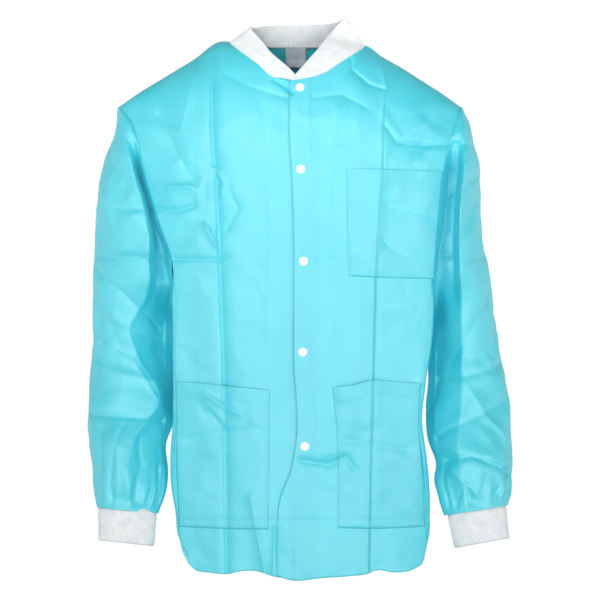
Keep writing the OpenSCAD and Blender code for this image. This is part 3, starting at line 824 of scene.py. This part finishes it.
# creases as on the fronts, at places (distance round from the front's middle line, height)
SLEEVE_CREASES = {
    RIGHT: [([(-75, -300), (0, -301), (75, -314)], -4.2, 4), ([(-75, -524), (0, -529), (80, -537)], -5.0, 4),
            ([(-12, -540), (-30, -615)], -3.6, 4), ([(14, -556), (14, -598), (-4, -662)], -3.8, 4),
            ([(44, -602), (22, -662)], -3.6, 4), ([(-70, -150), (-20, -190), (20, -260)], -2.6, 7),
            ([(-60, -390), (40, -420)], -2.2, 6), ([(-60, -455), (30, -478)], 2.4, 6),
            ([(-80, -312), (-20, -350), (35, -402)], -4.0, 5), ([(-60, -420), (0, -450), (30, -500)], 3.2, 5),
            ([(-42, -546), (-46, -612)], -3.6, 4), ([(-18, -545), (-20, -640)], 3.2, 4),
            ([(-50, -190), (-36, -262), (-46, -296)], 2.6, 6),
            ([(-70, -345), (-48, -420), (-60, -500)], -2.8, 6)],
    LEFT: [([(-75, -184), (-30, -200), (60, -232)], -6.0, 6), ([(-75, -300), (0, -306), (75, -312)], -3.2, 4),
           ([(-75, -452), (0, -470), (80, -478)], -4.4, 5),
           ([(40, -588), (0, -584), (-40, -600), (-80, -618)], -5.5, 4),
           ([(-60, -505), (50, -560)], -3.2, 6), ([(-40, -640), (-70, -600)], -3.6, 4),
           ([(0, -660), (-24, -612)], -3.8, 4), ([(34, -660), (10, -618)], -3.6, 4),
           ([(30, -600), (2, -630), (-18, -656)], 4.0, 4), ([(-50, -612), (-42, -640), (-56, -660)], -3.8, 4),
           ([(-60, -230), (-30, -270), (20, -300)], 3.0, 6),
           ([(-70, -350), (-20, -400), (20, -452)], -3.0, 6),
           ([(-30, -110), (-46, -176)], 2.6, 6), ([(0, -480), (-30, -530), (-60, -560)], 2.8, 6)],
}


FRONT_LINE = 85                  # from a sleeve's outer edge round to the middle of its front


def sleeve_relief(side, arc, z):
    """How far a sleeve's folds stand out; arc runs from the outer edge, to the front."""
    h = np.zeros(np.broadcast(arc, z).shape)
    toward = arc - FRONT_LINE
    for points, height, width in SLEEVE_CREASES[side]:
        h = h + height * np.exp(-np.hypot(distance(toward, z, points), 0.6) / width)
    around = arc / SLEEVE_GIRTH * math.tau
    a, b = np.cos(around) * 60, np.sin(around) * 60
    gather = smooth((-z - 575) / 80)
    h += gather * (2.0 * np.sin(9 * around + 1.3 + side) + 1.5 * np.sin(16 * around + 0.6 * side + z / 60)
                   + 0.6 * np.sin(27 * around + 2.1))
    h += (1 - 0.5 * gather) * 1.6 * noise2((a + 0.5 * z) / 42, (b - 0.3 * z) / 42, 40 + side)
    h += 2.3 * crumple(a + b * 0.4, z + b, 48, 52 + side) + 1.0 * crumple(a - b * 0.5, z - b, 22, 57 + side)
    return h


def sleeve_grid(side):
    """A sleeve's points as a grid of rows downward and columns round, and which of them exist."""
    s = SLEEVE[side]
    seam = seen_fronts[side]
    seam = seam[seam[:, 2] > UNDERARM_Z - 1]
    top_z = seam[0, 2]
    rows_z = np.r_[np.linspace(0, 1, 86) ** 1.3 * (UNDERARM_Z - top_z) + top_z,
                   np.linspace(UNDERARM_Z, SPLIT_Z, 45)[1:], np.linspace(SPLIT_Z, CUFF_SEAM_Z, 88)[1:]]
    z = rows_z[:, None]
    order = np.argsort(seam[:, 2])
    f_q = np.interp(rows_z, seam[order, 2], np.abs(seam[order, 0]))[:, None]
    f_y = np.interp(rows_z, seam[order, 2], seam[order, 1])[:, None]
    back = np.asarray(BACK_SEAM, float)[::-1]
    b_z = back[:, 0].copy()
    b_z[-1] = top_z
    tip = abs(seam[0, 0])
    b_q = hermite(b_z, back[:, 1] * tip, rows_z)[:, None]
    if side == LEFT:
        b_q = b_q + (170 - 0.665 * tip) * smooth((-rows_z - 150) / 150)[:, None]
    b_y = hermite(b_z, back[:, 2], rows_z)[:, None]
    q_out, q_in = at_height(s["outer"], z), at_height(s["inner"], z)
    lower = smooth((-z - 170) / 150)
    centre_up = (f_q + 0.34 * q_out) / 1.34
    centre = centre_up * (1 - lower) + (q_out + q_in) / 2 * lower
    a = np.maximum(q_out - centre, 0.5)
    mid = sleeve_middle_y(z)
    taper = smooth((-z - 600) / 60)
    even = np.clip(108 - a, 44, 64) * (1 - taper) + 36 * taper
    b_front = (mid - f_y) / SEAM_SHARE * (1 - lower) + even * lower
    b_back = (b_y - mid) / SEAM_SHARE * (1 - lower) + even * lower
    phi_f = np.arccos(np.clip((f_q - centre) / a, -0.97, 0.97))
    phi_b = np.arccos(np.clip((b_q - centre) / a, -0.97, 0.97))
    settle_down = smooth((UNDERARM_Z - z) / 60)
    phi_f, phi_b = (phi * (1 - settle_down) + SEAM_TURN * settle_down for phi in (phi_f, phi_b))
    c = np.arange(N_OUT + 1)[None, :] / N_OUT
    j = np.arange(1, N_IN)[None, :] / N_IN
    phi = np.concatenate([phi_f * (1 - c) - phi_b * c,
                          -phi_b * (1 - j) + (phi_f - math.tau) * j], 1)
    q = centre + a * np.cos(phi)
    y = mid - np.where(np.sin(phi) > 0, b_front, b_back) * np.sin(phi)
    fold = at_height(SLEEVE_FOLD[side], z)
    fold_y = mid - b_front * np.sqrt(np.clip(1 - ((fold - centre) / a) ** 2, 0, 1))
    inner_q = centre - a
    t = np.clip((fold - q) / np.maximum(fold - inner_q, 1), 0, 1)
    facet = fold_y + (mid - fold_y) * t
    flat = smooth((top_z - 40 - z) / 60) * (1 - 0.6 * taper)
    y = np.where((np.sin(phi) > 0) & (q < fold), y * (1 - flat) + facet * flat, y)
    hold = 1 - smooth((UNDERARM_Z - z) / 85)
    hollow = smooth((-z - 120) / 70) * hold * FRONT_HOLLOW
    y = y + hollow * smooth((q - f_q) / 7) * np.clip((fold - q) / 7, 0, 1) * (np.sin(phi) > 0)
    d_f = np.stack([f_q - q[:, :1], f_y - y[:, :1]], -1) * hold[..., None]
    d_b = np.stack([b_q - q[:, N_OUT:N_OUT + 1], b_y - y[:, N_OUT:N_OUT + 1]], -1) * hold[..., None]
    w_f = np.concatenate([np.clip(1 - c * 2.4, 0, 1) ** 2, j], 1)[..., None]
    w_b = np.concatenate([np.clip(1 - (1 - c) * 2.4, 0, 1) ** 2, 1 - j], 1)[..., None]
    shift = w_f * d_f + w_b * d_b
    q, y = q + shift[..., 0], y + shift[..., 1]
    arc = phi * SLEEVE_RADIUS
    edge = np.concatenate([np.minimum(np.minimum(c, 1 - c) * 14, 1), np.zeros_like(j)], 1)
    edge = edge * hold + (1 - hold)
    flank = np.concatenate([np.ones_like(c), np.full_like(j, 0.35)], 1)
    h = sleeve_relief(side, arc + 0 * z, z + 0 * arc) * edge * flank * smooth((top_z - z) / 30)
    h = h * (1 - smooth((-z - 640) / 20)) + 0.9 * smooth((-z - 648) / 10)
    q, y = q + h * np.cos(phi), y - h * np.sin(phi)
    slant = smooth((-z - 560) / 95) * s["slope"] * (q - centre)
    dip = np.concatenate([np.zeros_like(c), np.sin(j * math.pi) * 13], 1) * hold
    exists = np.ones(q.shape, bool)
    exists[rows_z > UNDERARM_Z + 0.01, N_OUT + 1:] = False
    points = seen(side * q, y, z + slant - dip)
    uv = np.stack([arc + 0 * z, z + 0 * arc], -1)
    return rows_z, points, uv, exists


def grid_normals(points, exists):
    """The direction out of a sleeve's grid at each point, smooth across its seams."""
    down = np.gradient(points, axis=0)
    ring = np.concatenate([points[:, -1:], points, points[:, :1]], 1)
    round_ = (ring[:, 2:] - ring[:, :-2]) / 2
    for c in (0, N_OUT):
        open_rows = ~exists[:, N_OUT + 1]
        ahead = 1 if c == 0 else -1
        round_[open_rows, c] = (points[open_rows, c + ahead] - points[open_rows, c]) * ahead
    n = np.cross(round_, down)
    return n / np.maximum(np.linalg.norm(n, axis=-1, keepdims=True), 1e-9)


def rims(faces, shift):
    """Walls along the border of a layer, to the same layer shift points further on."""
    edges = np.concatenate([faces[:, [k, (k + 1) % 4]] for k in range(4)])
    _, first, count = np.unique(np.sort(edges, axis=1), axis=0, return_index=True, return_counts=True)
    a, b = edges[first[count == 1]].T
    return np.stack([b, a, a + shift, b + shift], -1)


def close_ring(grid):
    """The grid with its first column again after the last."""
    return np.concatenate([grid, grid[:, :1]], 1)


SLEEVE_THICK = 0.5
sleeve_parts, armhole_back, underarm = {}, {}, {}
for side in (LEFT, RIGHT):
    rows_z, points, uv, exists = sleeve_grid(side)
    n_cols = points.shape[1]
    split = int(np.argmin(np.abs(rows_z - SPLIT_Z)))
    under_row = int(np.argmin(np.abs(rows_z - UNDERARM_Z)))
    armhole_back[side] = points[:under_row + 1, N_OUT]
    underarm[side] = np.concatenate([points[under_row, N_OUT:], points[under_row, :1]])[::-1]
    out = grid_normals(points, exists) * side
    middle = points[-1].mean(0)
    out *= np.sign(((points[-1] - middle) * out[-1]).sum())
    skin, lining, out, present = map(close_ring, (points, points - out * SLEEVE_THICK, out, exists))
    uv = np.concatenate([uv, uv[:, :1] - [[[math.tau * SLEEVE_RADIUS, 0]]]], 1)
    for part, chosen in (("upper", slice(0, split + 1)), ("lower", slice(split, None))):
        n_rows = len(rows_z[chosen])
        faces = grid_faces(n_rows, n_cols + 1, side < 0, keep=present[chosen])
        shift = n_rows * (n_cols + 1)
        f = np.concatenate([faces, faces[:, ::-1] + shift, rims(faces, shift)])
        p = np.concatenate([skin[chosen].reshape(-1, 3), lining[chosen].reshape(-1, 3)])
        t = np.concatenate([uv[chosen].reshape(-1, 2)] * 2)
        facing = np.concatenate([out[chosen].reshape(-1, 3), -out[chosen].reshape(-1, 3)])
        obj = make_mesh(f"{SIDE_NAME[side]}_sleeve_{part}_sheet", p, f, t, AQUA)
        obj.data.normals_split_custom_set_from_vertices([tuple(n) for n in facing[np.unique(f)]])
        sleeve_parts[side, part] = obj

# ---- back -----------------------------------------------------------------------------------

BACK_Y = 115.0
SQUARENESS = 2.857               # power of the superellipse round the back
BACK_CREASES = [
    ([(-112, 0), (-108, -300), (-104, -755)], 2.6, 9),
    ([(112, 0), (108, -300), (104, -755)], 2.6, 9),
    ([(-170, -528), (170, -534)], -1.8, 7),
    ([(0, -10), (2, -300), (-2, -755)], 1.6, 12),
    ([(-180, -150), (-90, -210), (-40, -300)], -1.4, 12),
    ([(180, -150), (100, -220), (50, -300)], -1.4, 12),
]


def back_relief(x, z):
    """How far folds and creases stand out of the back; x runs across it, round the body."""
    h = np.zeros(np.broadcast(x, z).shape)
    for points, height, width in BACK_CREASES:
        h = h + height * np.exp(-np.hypot(distance(x, z, points), 0.8) / width)
    low = smooth((-z - 60) / 200)
    h += low * (1.8 * noise2(x / 60, z / 240, 71) + 0.9 * noise2(x / 30, z / 110, 73))
    h += smooth((-z - 640) / 110) * 3.0 * noise2(x / 36, z / 400, 75)
    h += 0.96 * crumple(x, z, 54, 77) + 0.35 * crumple(x, z, 24, 79)
    return h


N_SIDE = 30                      # columns of the lower back at each front corner
BACK_END_Z = -748


def lower_back(n_back=150, n_rows=150):
    """The cloth from one front corner, round the back, to the other, below the arms."""
    levels = np.linspace(0, 1, n_rows)
    z = UNDERARM_Z + (BACK_END_Z - UNDERARM_Z) * levels
    corner = {}
    for side in (LEFT, RIGHT):
        edge = front_edges[side]["side"]
        order = np.argsort(edge[:, 2])
        corner[side] = np.stack([np.interp(z, edge[order, 2], edge[order, k]) for k in (0, 1)], -1)
    theta = np.linspace(0, math.pi, n_back)
    half = {s: np.minimum(np.abs(corner[s][:, 0]) - 5, 177 - 6 * smooth(levels * 1.2)) for s in (LEFT, RIGHT)}
    ring = []
    for k, th in enumerate(theta):
        w = half[LEFT] * (1 - k / (n_back - 1)) + half[RIGHT] * k / (n_back - 1)
        cx, sy = math.cos(th), math.sin(th)
        x = w * np.sign(cx) * abs(cx) ** (2 / SQUARENESS)
        y = RIDGE_Y + (BACK_Y - RIDGE_Y) * sy ** (2 / SQUARENESS)
        ring.append(np.stack([x, np.broadcast_to(y, x.shape)], -1))
    ring = np.stack(ring, 1)
    sides = {}
    for side in (LEFT, RIGHT):
        c, target = corner[side], ring[:, 0 if side == LEFT else -1]
        s_dir = np.array([side, 1.0])
        knots = [c, c + np.array([3.4, 2.6]) * s_dir, c + np.array([5.2, 7.0]) * s_dir,
                 c + np.array([5.0, 14.0]) * s_dir,
                 c * 0.55 + target * 0.45 + np.array([2.5, 3.0]) * s_dir, target]
        knots = np.stack(knots, 1)
        d = np.array([0, 0.06, 0.13, 0.23, 0.55, 1.0])
        t = np.linspace(0, 1, N_SIDE) ** 1.35
        sides[side] = np.stack([hermite(d, knots[r], t) for r in range(n_rows)])
    xy = np.concatenate([sides[LEFT], ring[:, 1:-1], sides[RIGHT][:, ::-1]], 1)
    return z, xy


def round_normals(xy):
    """The level direction square to each row of points; the row's own direction decides its sign."""
    t = np.gradient(xy, axis=1)
    n = np.stack([t[..., 1], -t[..., 0]], -1)
    return n / np.maximum(np.linalg.norm(n, axis=-1, keepdims=True), 1e-9)


z_low, xy_low = lower_back()
n_low_rows, n_low_cols = xy_low.shape[:2]
run = run_length(xy_low[0])
across = (run[-1] / 2 - run)[None, :]                # runs from the wearer's left, +, to the right, -
hem_back_z = hermite([0, 0.03, 0.12, 0.25, 0.5, 0.75, 0.88, 0.97, 1],
                     [front_edges[LEFT]["hem"][-1][2], -727, -718, -728, -738, -728, -718, -727,
                      front_edges[RIGHT]["hem"][-1][2]], np.linspace(0, 1, n_low_cols))
level = ((z_low - z_low[0]) / (z_low[-1] - z_low[0]))[:, None]
ARMHOLE_END_Y = BACK_SEAM[-1][2]
first_b = N_SIDE + int(np.argmin(np.abs(xy_low[0, N_SIDE:n_low_cols // 2, 1] - ARMHOLE_END_Y)))
last_b = n_low_cols - 1 - first_b
side_share = np.zeros(n_low_cols)
side_share[:first_b + 1] = np.sin(np.linspace(0, 1, first_b + 1) * math.pi)
side_share[last_b:] = side_share[first_b::-1]
top_low = UNDERARM_Z - 13 * side_share
z_grid = top_low[None, :] * (1 - level) + hem_back_z[None, :] * level
fade_in = np.minimum(np.arange(n_low_cols), np.arange(n_low_cols)[::-1]) / 10.0
puff = back_relief(across, z_grid) * smooth(fade_in)[None, :]
puff = puff - 0.9 * np.exp(-((z_grid - HEM_STITCH_Z) / 2.2) ** 2)
out_low = round_normals(xy_low)
out_low *= np.sign(out_low[0, n_low_cols // 2, 1])   # the middle of the back faces +Y
low_points = np.concatenate([xy_low + out_low * puff[..., None], z_grid[..., None]], -1)

# under each arm, the body's edge follows the sleeve's
for side, cols in ((LEFT, np.arange(first_b + 1)), (RIGHT, np.arange(n_low_cols - 1, last_b - 1, -1))):
    line = low_points[0, cols]
    share = run_length(line)
    pull = resample(underarm[side], share / share[-1]) - line
    near_arm = 1 - smooth(level / 0.14)
    low_points[:, cols] += near_arm[..., None] * pull
    past = np.arange(1, 30)
    fade = (near_arm * (1 - smooth(past / 30)))[..., None]
    low_points[:, cols[-1] + side * past] += fade * pull[-1]

# above the arms: between the neckline and shoulder seams, the armholes and the top of the part below
bottom_edge = low_points[0, first_b:last_b + 1]
n_top = bottom_edge.shape[0]


def shoulder_part(side, from_q):
    """The front's top edge from that distance off the middle outward: the shoulder seam."""
    top = front_edges[side]["top"]
    return top[np.abs(top[:, 0]) > from_q]


left_shoulder, right_shoulder = shoulder_part(LEFT, 92), shoulder_part(RIGHT, 98)
neck_back = [left_shoulder[0], (84, 30, 15), (62, 46, 14), (34, 55, 13), (0, 58, 13), (-36, 55, 13),
             (-66, 46, 15), (-90, 30, 17), right_shoulder[0]]
neck_line = spline(neck_back, 60)
top_edge = np.concatenate([left_shoulder[::-1], neck_line[1:-1], right_shoulder])
seams = {side: armhole_back[side].copy() for side in (LEFT, RIGHT)}
seams[LEFT][0], seams[RIGHT][0] = top_edge[0], top_edge[-1]
seams[LEFT][-1], seams[RIGHT][-1] = bottom_edge[0], bottom_edge[-1]
n_up = 100
rows = np.linspace(0, 1, n_up) ** 1.35
top_curve = resample(top_edge, np.linspace(0, 1, n_top))
first_curve, last_curve = resample(seams[LEFT], rows), resample(seams[RIGHT], rows)
upper = coons(top_curve, bottom_edge, first_curve, last_curve, rows)
bulge = (1 - (1 - rows) ** 2.4) ** 0.6
upper[..., 1] = coons(top_curve, bottom_edge, first_curve, last_curve, bulge)[..., 1]
chord = top_curve[0] + (top_curve[-1] - top_curve[0]) * np.linspace(0, 1, n_top)[:, None]
bow = top_curve - chord
odd = np.concatenate([-bow[:0:-1], bow, -bow[-2::-1]])
# the neckline's bow across the back softens more and more downward, as a blur over the columns
reach = np.arange(-60, 61)
for r in range(1, n_up):
    sigma = 22 * rows[r] ** 0.6
    kernel = np.exp(-0.5 * (reach / sigma) ** 2)
    kernel /= kernel.sum()
    soft = np.stack([np.convolve(odd[:, k], kernel, "same") for k in range(3)], -1)[n_top - 1:2 * n_top - 1]
    upper[r] += (soft - bow) * (1 - np.array([rows[r], bulge[r], rows[r]]))
margin = np.minimum(np.arange(n_top), np.arange(n_top)[::-1])[None, :] / 12.0
ease = smooth(margin) * smooth(rows * 12)[:, None]
run_up = np.linspace(across[0, first_b], across[0, last_b], n_top)[None, :]
raised = back_relief(run_up, upper[..., 2])
upper[..., 1] += (raised - bulge[:, None] * raised[-1:]) * ease
upper[-1] = bottom_edge
low_uv = np.stack([np.broadcast_to(across, z_grid.shape), z_grid], -1)
up_uv = np.stack([np.broadcast_to(run_up, upper.shape[:2]), upper[..., 2]], -1)
p, uv, f = join_grids([(low_points, low_uv, grid_faces(n_low_rows, n_low_cols)),
                       (upper, up_uv, grid_faces(n_up, n_top))])
back_sheet = make_mesh("back_sheet", p, f, uv, AQUA)
weld = back_sheet.modifiers.new("weld", "WELD")
weld.merge_threshold = 0.05 * MM
shell = back_sheet.modifiers.new("thickness", "SOLIDIFY")
shell.thickness, shell.offset, shell.use_even_offset = 0.5 * MM, -1.0, False
settle(back_sheet)

# the hem folded up inside the back
fold_rows = z_grid[:, n_low_cols // 2] < HEM_STITCH_Z - 3
inner_hem = low_points[fold_rows].copy()
inner_hem[..., :2] -= out_low[fold_rows] * FOLD_BEHIND
hem_uv = low_uv[fold_rows]
back_hem = make_mesh("back_hem_fold", inner_hem[:, 6:-6], grid_faces(int(fold_rows.sum()), n_low_cols - 12),
                     hem_uv[:, 6:-6], AQUA, 0.4)
hem_row = int(np.argmin(np.abs(z_grid[:, n_low_cols // 2] - HEM_STITCH_Z)))
hem_out = np.concatenate([out_low[hem_row], np.zeros((n_low_cols, 1))], 1)
hem_path = low_points[hem_row] + hem_out * 0.1
parts = []
for start in range(0, n_low_cols - 12, 11):
    line = hem_path[start:start + 12]
    nearest = int(np.argmin(np.linalg.norm(low_points[hem_row] - line[6], axis=1)))
    parts.append(dashes([line], normal=hem_out[nearest]))
back_stitching = stitch_mesh("back_hem_stitching", parts, THREAD)

# ---- knit bands -----------------------------------------------------------------------------

RIB_PITCH = 2.3


def ribbed_strip(bottom, top, middle, thickness, puff_out=0.8):
    """A doubled knit band between two curves, ribbed across its length, with its outside away from middle."""
    b, t = np.asarray(bottom, float), np.asarray(top, float)
    along = np.gradient((b + t) / 2, axis=0)
    width = t - b
    n = np.cross(along, width)
    n /= np.linalg.norm(n, axis=1, keepdims=True)
    facing = (b + t) / 2 - middle
    n *= np.sign((n * facing).sum(1, keepdims=True))
    length = run_length((b + t) / 2)
    rib = 0.38 * np.cos(length / RIB_PITCH * math.tau)[:, None]
    face = np.linspace(0, 1, 12)
    r = thickness / 2
    rows = [(0, -r * 0.2)] + [(s, r + puff_out * math.sin(math.pi * s)) for s in face[:-1]]
    fold = [(1 + r * math.sin(a) / 34, r * math.cos(a)) for a in np.linspace(0, math.pi, 7)]
    rows = rows + fold + [(s, -r) for s in face[::-1][1:]]
    s, off = np.array([q[0] for q in rows]), np.array([q[1] for q in rows])
    sign = np.sign(off)[None, :, None]
    points = (b[:, None] + width[:, None] * s[None, :, None] + n[:, None] * off[None, :, None]
              + n[:, None] * rib[:, None] * sign * (np.abs(off) > r * 0.5)[None, :, None])
    wide = np.linalg.norm(width, axis=1)[:, None]
    uv = np.stack([np.broadcast_to(length[:, None], points.shape[:2]), s * wide + 2 * off], -1)
    return points, uv


def seen_front(points, side, lift):
    """Collar points on the front, seen at x, z, lifted off the chest."""
    p = np.asarray(points, float)
    return seen(p[:, 0], chest_y(p[:, 0], p[:, 1], side) - lift, p[:, 1])


def back_and_front(front, side, lift, back_points):
    """One curve along the front, over the shoulder seam and round to the middle of the back."""
    first = seen_front(front[:-1], side, lift)
    at_side = seen(front[-1][0], RIDGE_Y, front[-1][1])[None]
    return np.concatenate([first, at_side, np.asarray(back_points, float)])


COLLAR = {
    RIGHT: dict(bottom=[(-8, -50), (-24, -47), (-37, -45), (-60, -27), (-80, -12), (-99, 3)],
                bottom_back=[(-93, 27, 11), (-68, 46, 9), (-36, 56, 8), (0, 59, 8)],
                top=[(-5, -44), (-16, -33), (-28, -23), (-40, -13), (-52, 1), (-70, 24)],
                top_back=[(-66, 22, 33), (-50, 37, 37), (-27, 47, 38.5), (0, 50, 39)]),
    LEFT: dict(bottom=[(-12, -50), (12, -46), (33, -40), (55, -26), (75, -13), (92, -2)],
               bottom_back=[(86, 27, 9), (64, 46, 8), (34, 56, 8), (0, 59, 8)],
               top=[(-8, -43), (8, -26), (24, -9), (34, 3), (46, 17), (64, 37)],
               top_back=[(62, 22, 44), (48, 37, 41), (26, 47, 39.5), (0, 50, 39)]),
}
COLLAR_COLS, COLLAR_THICK = 620, 2.6
NECK_MIDDLE = (0.0, 12.0, -20.0)
collars = {}
for side in (LEFT, RIGHT):
    c = COLLAR[side]
    lift = 2.6 if side == LEFT else 1.2
    bottom = spline(back_and_front(c["bottom"], side, lift, c["bottom_back"]), COLLAR_COLS)
    top = spline(back_and_front(c["top"], side, lift + 1.0, c["top_back"]), COLLAR_COLS)
    points, uv = ribbed_strip(bottom, top, np.array(NECK_MIDDLE), COLLAR_THICK)
    faces = grid_faces(COLLAR_COLS, points.shape[1], side > 0, wrap=True)
    collars[side] = make_mesh(f"{SIDE_NAME[side]}_collar_band", points, faces, uv, KNIT)

CUFF_H = 46.0
CUFF_RIBS = 100
# middle and half width of a cuff as seen, at its seam and at its end
CUFF = {LEFT: ((251.0, 40.2), (258.0, 38.0)), RIGHT: ((245.0, 40.2), (247.0, 38.5))}
CUFF_HALF_DEPTH = 33.0, 30.5
# a cuff's section, from inside the sleeve down its outside and up its inside: (distance out, height)
CUFF_PROFILE = [(-3.0, 7.0), (-1.2, 3.5), (0.2, 0.5), (1.0, -3), (1.3, -8), (1.1, -14), (0.8, -20),
                (0.7, -26), (0.9, -32), (1.1, -38), (0.9, -42), (0.3, -45), (-0.8, -46.4), (-2.0, -45.4),
                (-2.6, -43), (-2.8, -34), (-2.8, -22), (-2.8, -8), (-3.0, 4)]
cuffs = {}
for side in (LEFT, RIGHT):
    s = SLEEVE[side]
    n = CUFF_RIBS * 6
    phi = np.linspace(0, math.tau, n, endpoint=False)
    (centre_t, half_t), (centre_b, half_b) = CUFF[side]
    mid_t = float(sleeve_middle_y(CUFF_SEAM_Z))
    mid_b = mid_t - CUFF_H * LEAN * 0.6
    rows, uv_rows = [], []
    for off, dz in CUFF_PROFILE:
        t = np.clip(-dz / CUFF_H, 0, 1)
        cq, ha = centre_t + (centre_b - centre_t) * t, half_t + (half_b - half_t) * t
        hb = CUFF_HALF_DEPTH[0] + (CUFF_HALF_DEPTH[1] - CUFF_HALF_DEPTH[0]) * t
        my = mid_t + (mid_b - mid_t) * t
        rib = 0.42 * np.cos(phi * CUFF_RIBS) * (1 if off > -0.5 else -0.6)
        wave = 0.8 * np.sin(3 * phi + 1 + side) + 0.5 * np.sin(5 * phi + dz / 20)
        q = cq + (ha + off + rib + wave * t) * np.cos(phi)
        y = my - (hb + off + rib + wave * t) * np.sin(phi)
        z = CUFF_SEAM_Z + dz + s["slope"] * (q - cq) * (1 + 0.15 * t)
        rows.append(seen(side * q, y, z))
        uv_rows.append(np.stack([phi * 38, np.full(n, dz + (0 if off > -1 else 60))], -1))
    points, uv = np.stack(rows), np.stack(uv_rows)
    last, c = (len(rows) - 1) * n, np.arange(n)
    close_up = np.stack([last + c, c, (c + 1) % n, last + (c + 1) % n], -1)
    faces = np.concatenate([grid_faces(len(rows), n, wrap=True), close_up])
    faces = faces[:, ::-1] if side > 0 else faces
    cuffs[side] = make_mesh(f"{SIDE_NAME[side]}_cuff_band", points, faces, uv, KNIT)

# ---- label ----------------------------------------------------------------------------------

lu, lv = np.meshgrid(np.linspace(-1, 1, 24), np.linspace(0, 1, 24), indexing="xy")
label_x, label_z = -6.0 + lu * 14.5, -2.0 - lv * 30.0
label_y = np.interp(label_z, [-45, -20, -2], [76, 69, 58]) - 2.2 - 1.2 * lv + 0.5 * np.cos(lu * 3)
label = make_mesh("blank_neck_label", seen(label_x, label_y, label_z), grid_faces(24, 24),
                  np.stack([label_x, label_z], -1), TAPE, 0.5)
label_seam = seen(label_x[1], label_y[1] - 0.6, label_z[1])
label_stitches = stitch_mesh("label_stitches", [dashes([label_seam], step=2.6, length=1.9)], WHITE_THREAD)

# ---- what moves with what -------------------------------------------------------------------


def blend_front(obj):
    """Bakes a piece's placement into its mesh."""
    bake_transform(obj)


for side in (LEFT, RIGHT):
    word = SIDE_NAME[side]
    sleeve_up, sleeve_low = sleeve_parts[side, "upper"], sleeve_parts[side, "lower"]
    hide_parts(f"front_{word}", f"front_upper_{word}")
    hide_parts(f"front_facing_{word}")
    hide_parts(f"hem_{word}")
    for obj in (front_sheets[side], facings[side], hems[side], stitching[side], collars[side]):
        blend_front(obj)
    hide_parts("collar")
    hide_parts(f"sleeve_upper_{word}")
    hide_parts(f"sleeve_lower_{word}")
    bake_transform(sleeve_up)
    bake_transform(sleeve_low)
    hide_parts(f"cuff_{word}")
    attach(cuffs[side], f"sleeve_lower_{word}")
for name, pocket in POCKETS.items():
    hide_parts(pocket["nodes"][0])
    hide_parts(pocket["nodes"][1])
    for obj in (pockets[name], pocket_hems[name]):
        blend_front(obj)
for node, (side, obj) in snaps.items():
    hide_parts(node)
    blend_front(obj)
for obj, node, slot in ((back_sheet, "back_panel", "nonwoven"), (back_hem, "hem_back", "nonwoven"),
                        (label, "neck_label", "label_tape"), (back_stitching, None, "nonwoven"),
                        (label_stitches, None, "label_tape")):
    if node:
        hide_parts(node)
    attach(obj, "torso")

# ---- stage ----------------------------------------------------------------------------------

FLOOR_Z, FLOOR_RADIUS = -0.95, 1.3       # the stage is given in metres


def studio():
    """A round pale floor, and a white surround that darkens overhead."""
    rings = np.linspace(0.0001, FLOOR_RADIUS, 12)
    a = np.linspace(0, math.tau, 72, endpoint=False)
    level = np.full((12, 72), FLOOR_Z)
    points = np.stack([np.outer(rings, np.cos(a)), np.outer(rings, np.sin(a)), level], -1) / MM
    n = Nodes("studio_paper")
    paper = n.noise(n.uv((1, 1)), 3.0, 2.0)
    material = n.finish(n.mix(paper, srgb(238, 240, 241), srgb(244, 245, 246)), 0.9)
    floor = make_mesh("studio_floor", points, grid_faces(12, 72, wrap=True), points[..., :2], material)
    world = bpy.data.worlds.new("studio_world")
    bpy.context.scene.world = world
    world.use_nodes = True
    tree = world.node_tree
    direction = tree.nodes.new("ShaderNodeTexCoord")
    parts = tree.nodes.new("ShaderNodeSeparateXYZ")
    height = tree.nodes.new("ShaderNodeMapRange")
    height.interpolation_type = "SMOOTHSTEP"
    for key, number in (("From Min", 0.14), ("From Max", 0.55), ("To Min", 1.02), ("To Max", 0.2)):
        height.inputs[key].default_value = number
    tree.links.new(direction.outputs["Generated"], parts.inputs[0])
    tree.links.new(parts.outputs[2], height.inputs["Value"])
    tree.links.new(height.outputs["Result"], tree.nodes["Background"].inputs["Strength"])
    tree.nodes["Background"].inputs["Color"].default_value = (1, 1, 1, 1)


studio()


def softbox(name, place, size, power, aim=(0, 0, -0.36), spread=180):
    """A soft rectangular lamp, in metres and watts, turned towards aim."""
    data = bpy.data.lights.new(name, "AREA")
    data.spread = math.radians(spread)
    data.shape, data.size, data.size_y, data.energy = "RECTANGLE", size[0], size[1], power
    obj = bpy.data.objects.new(name, data)
    bpy.context.scene.collection.objects.link(obj)
    obj.location = place
    obj.rotation_euler = (Vector(aim) - Vector(place)).to_track_quat("-Z", "Y").to_euler()


softbox("key", (-1.5, -3.1, 0.7), (0.8, 0.8), 27)
softbox("fill", (1.9, -3.0, 0.0), (0.8, 1.2), 23)
softbox("low", (0.0, -3.4, -1.0), (1.2, 0.6), 14, aim=(0, 0, -0.6))
softbox("top", (0.0, -1.5, 1.9), (0.8, 0.8), 3, aim=(0, 0, -0.1))
softbox("neck", (0.0, -1.3, 0.6), (0.4, 0.4), 0.13, aim=(0, 0.05, -0.02), spread=24)
bpy.context.scene.view_settings.view_transform = "Standard"

camera = bpy.data.cameras.new("camera")
camera.lens, camera.sensor_width, camera.dof.use_dof = 169.0, 36.0, False
camera_object = bpy.data.objects.new("camera", camera)
bpy.context.scene.collection.objects.link(camera_object)
camera_object.location = (0, CAMERA_Y * MM, MIDDLE_Z * MM)
camera_object.rotation_euler = (math.pi / 2, 0, 0)
bpy.context.scene.camera = camera_object

bpy.context.view_layer.update()
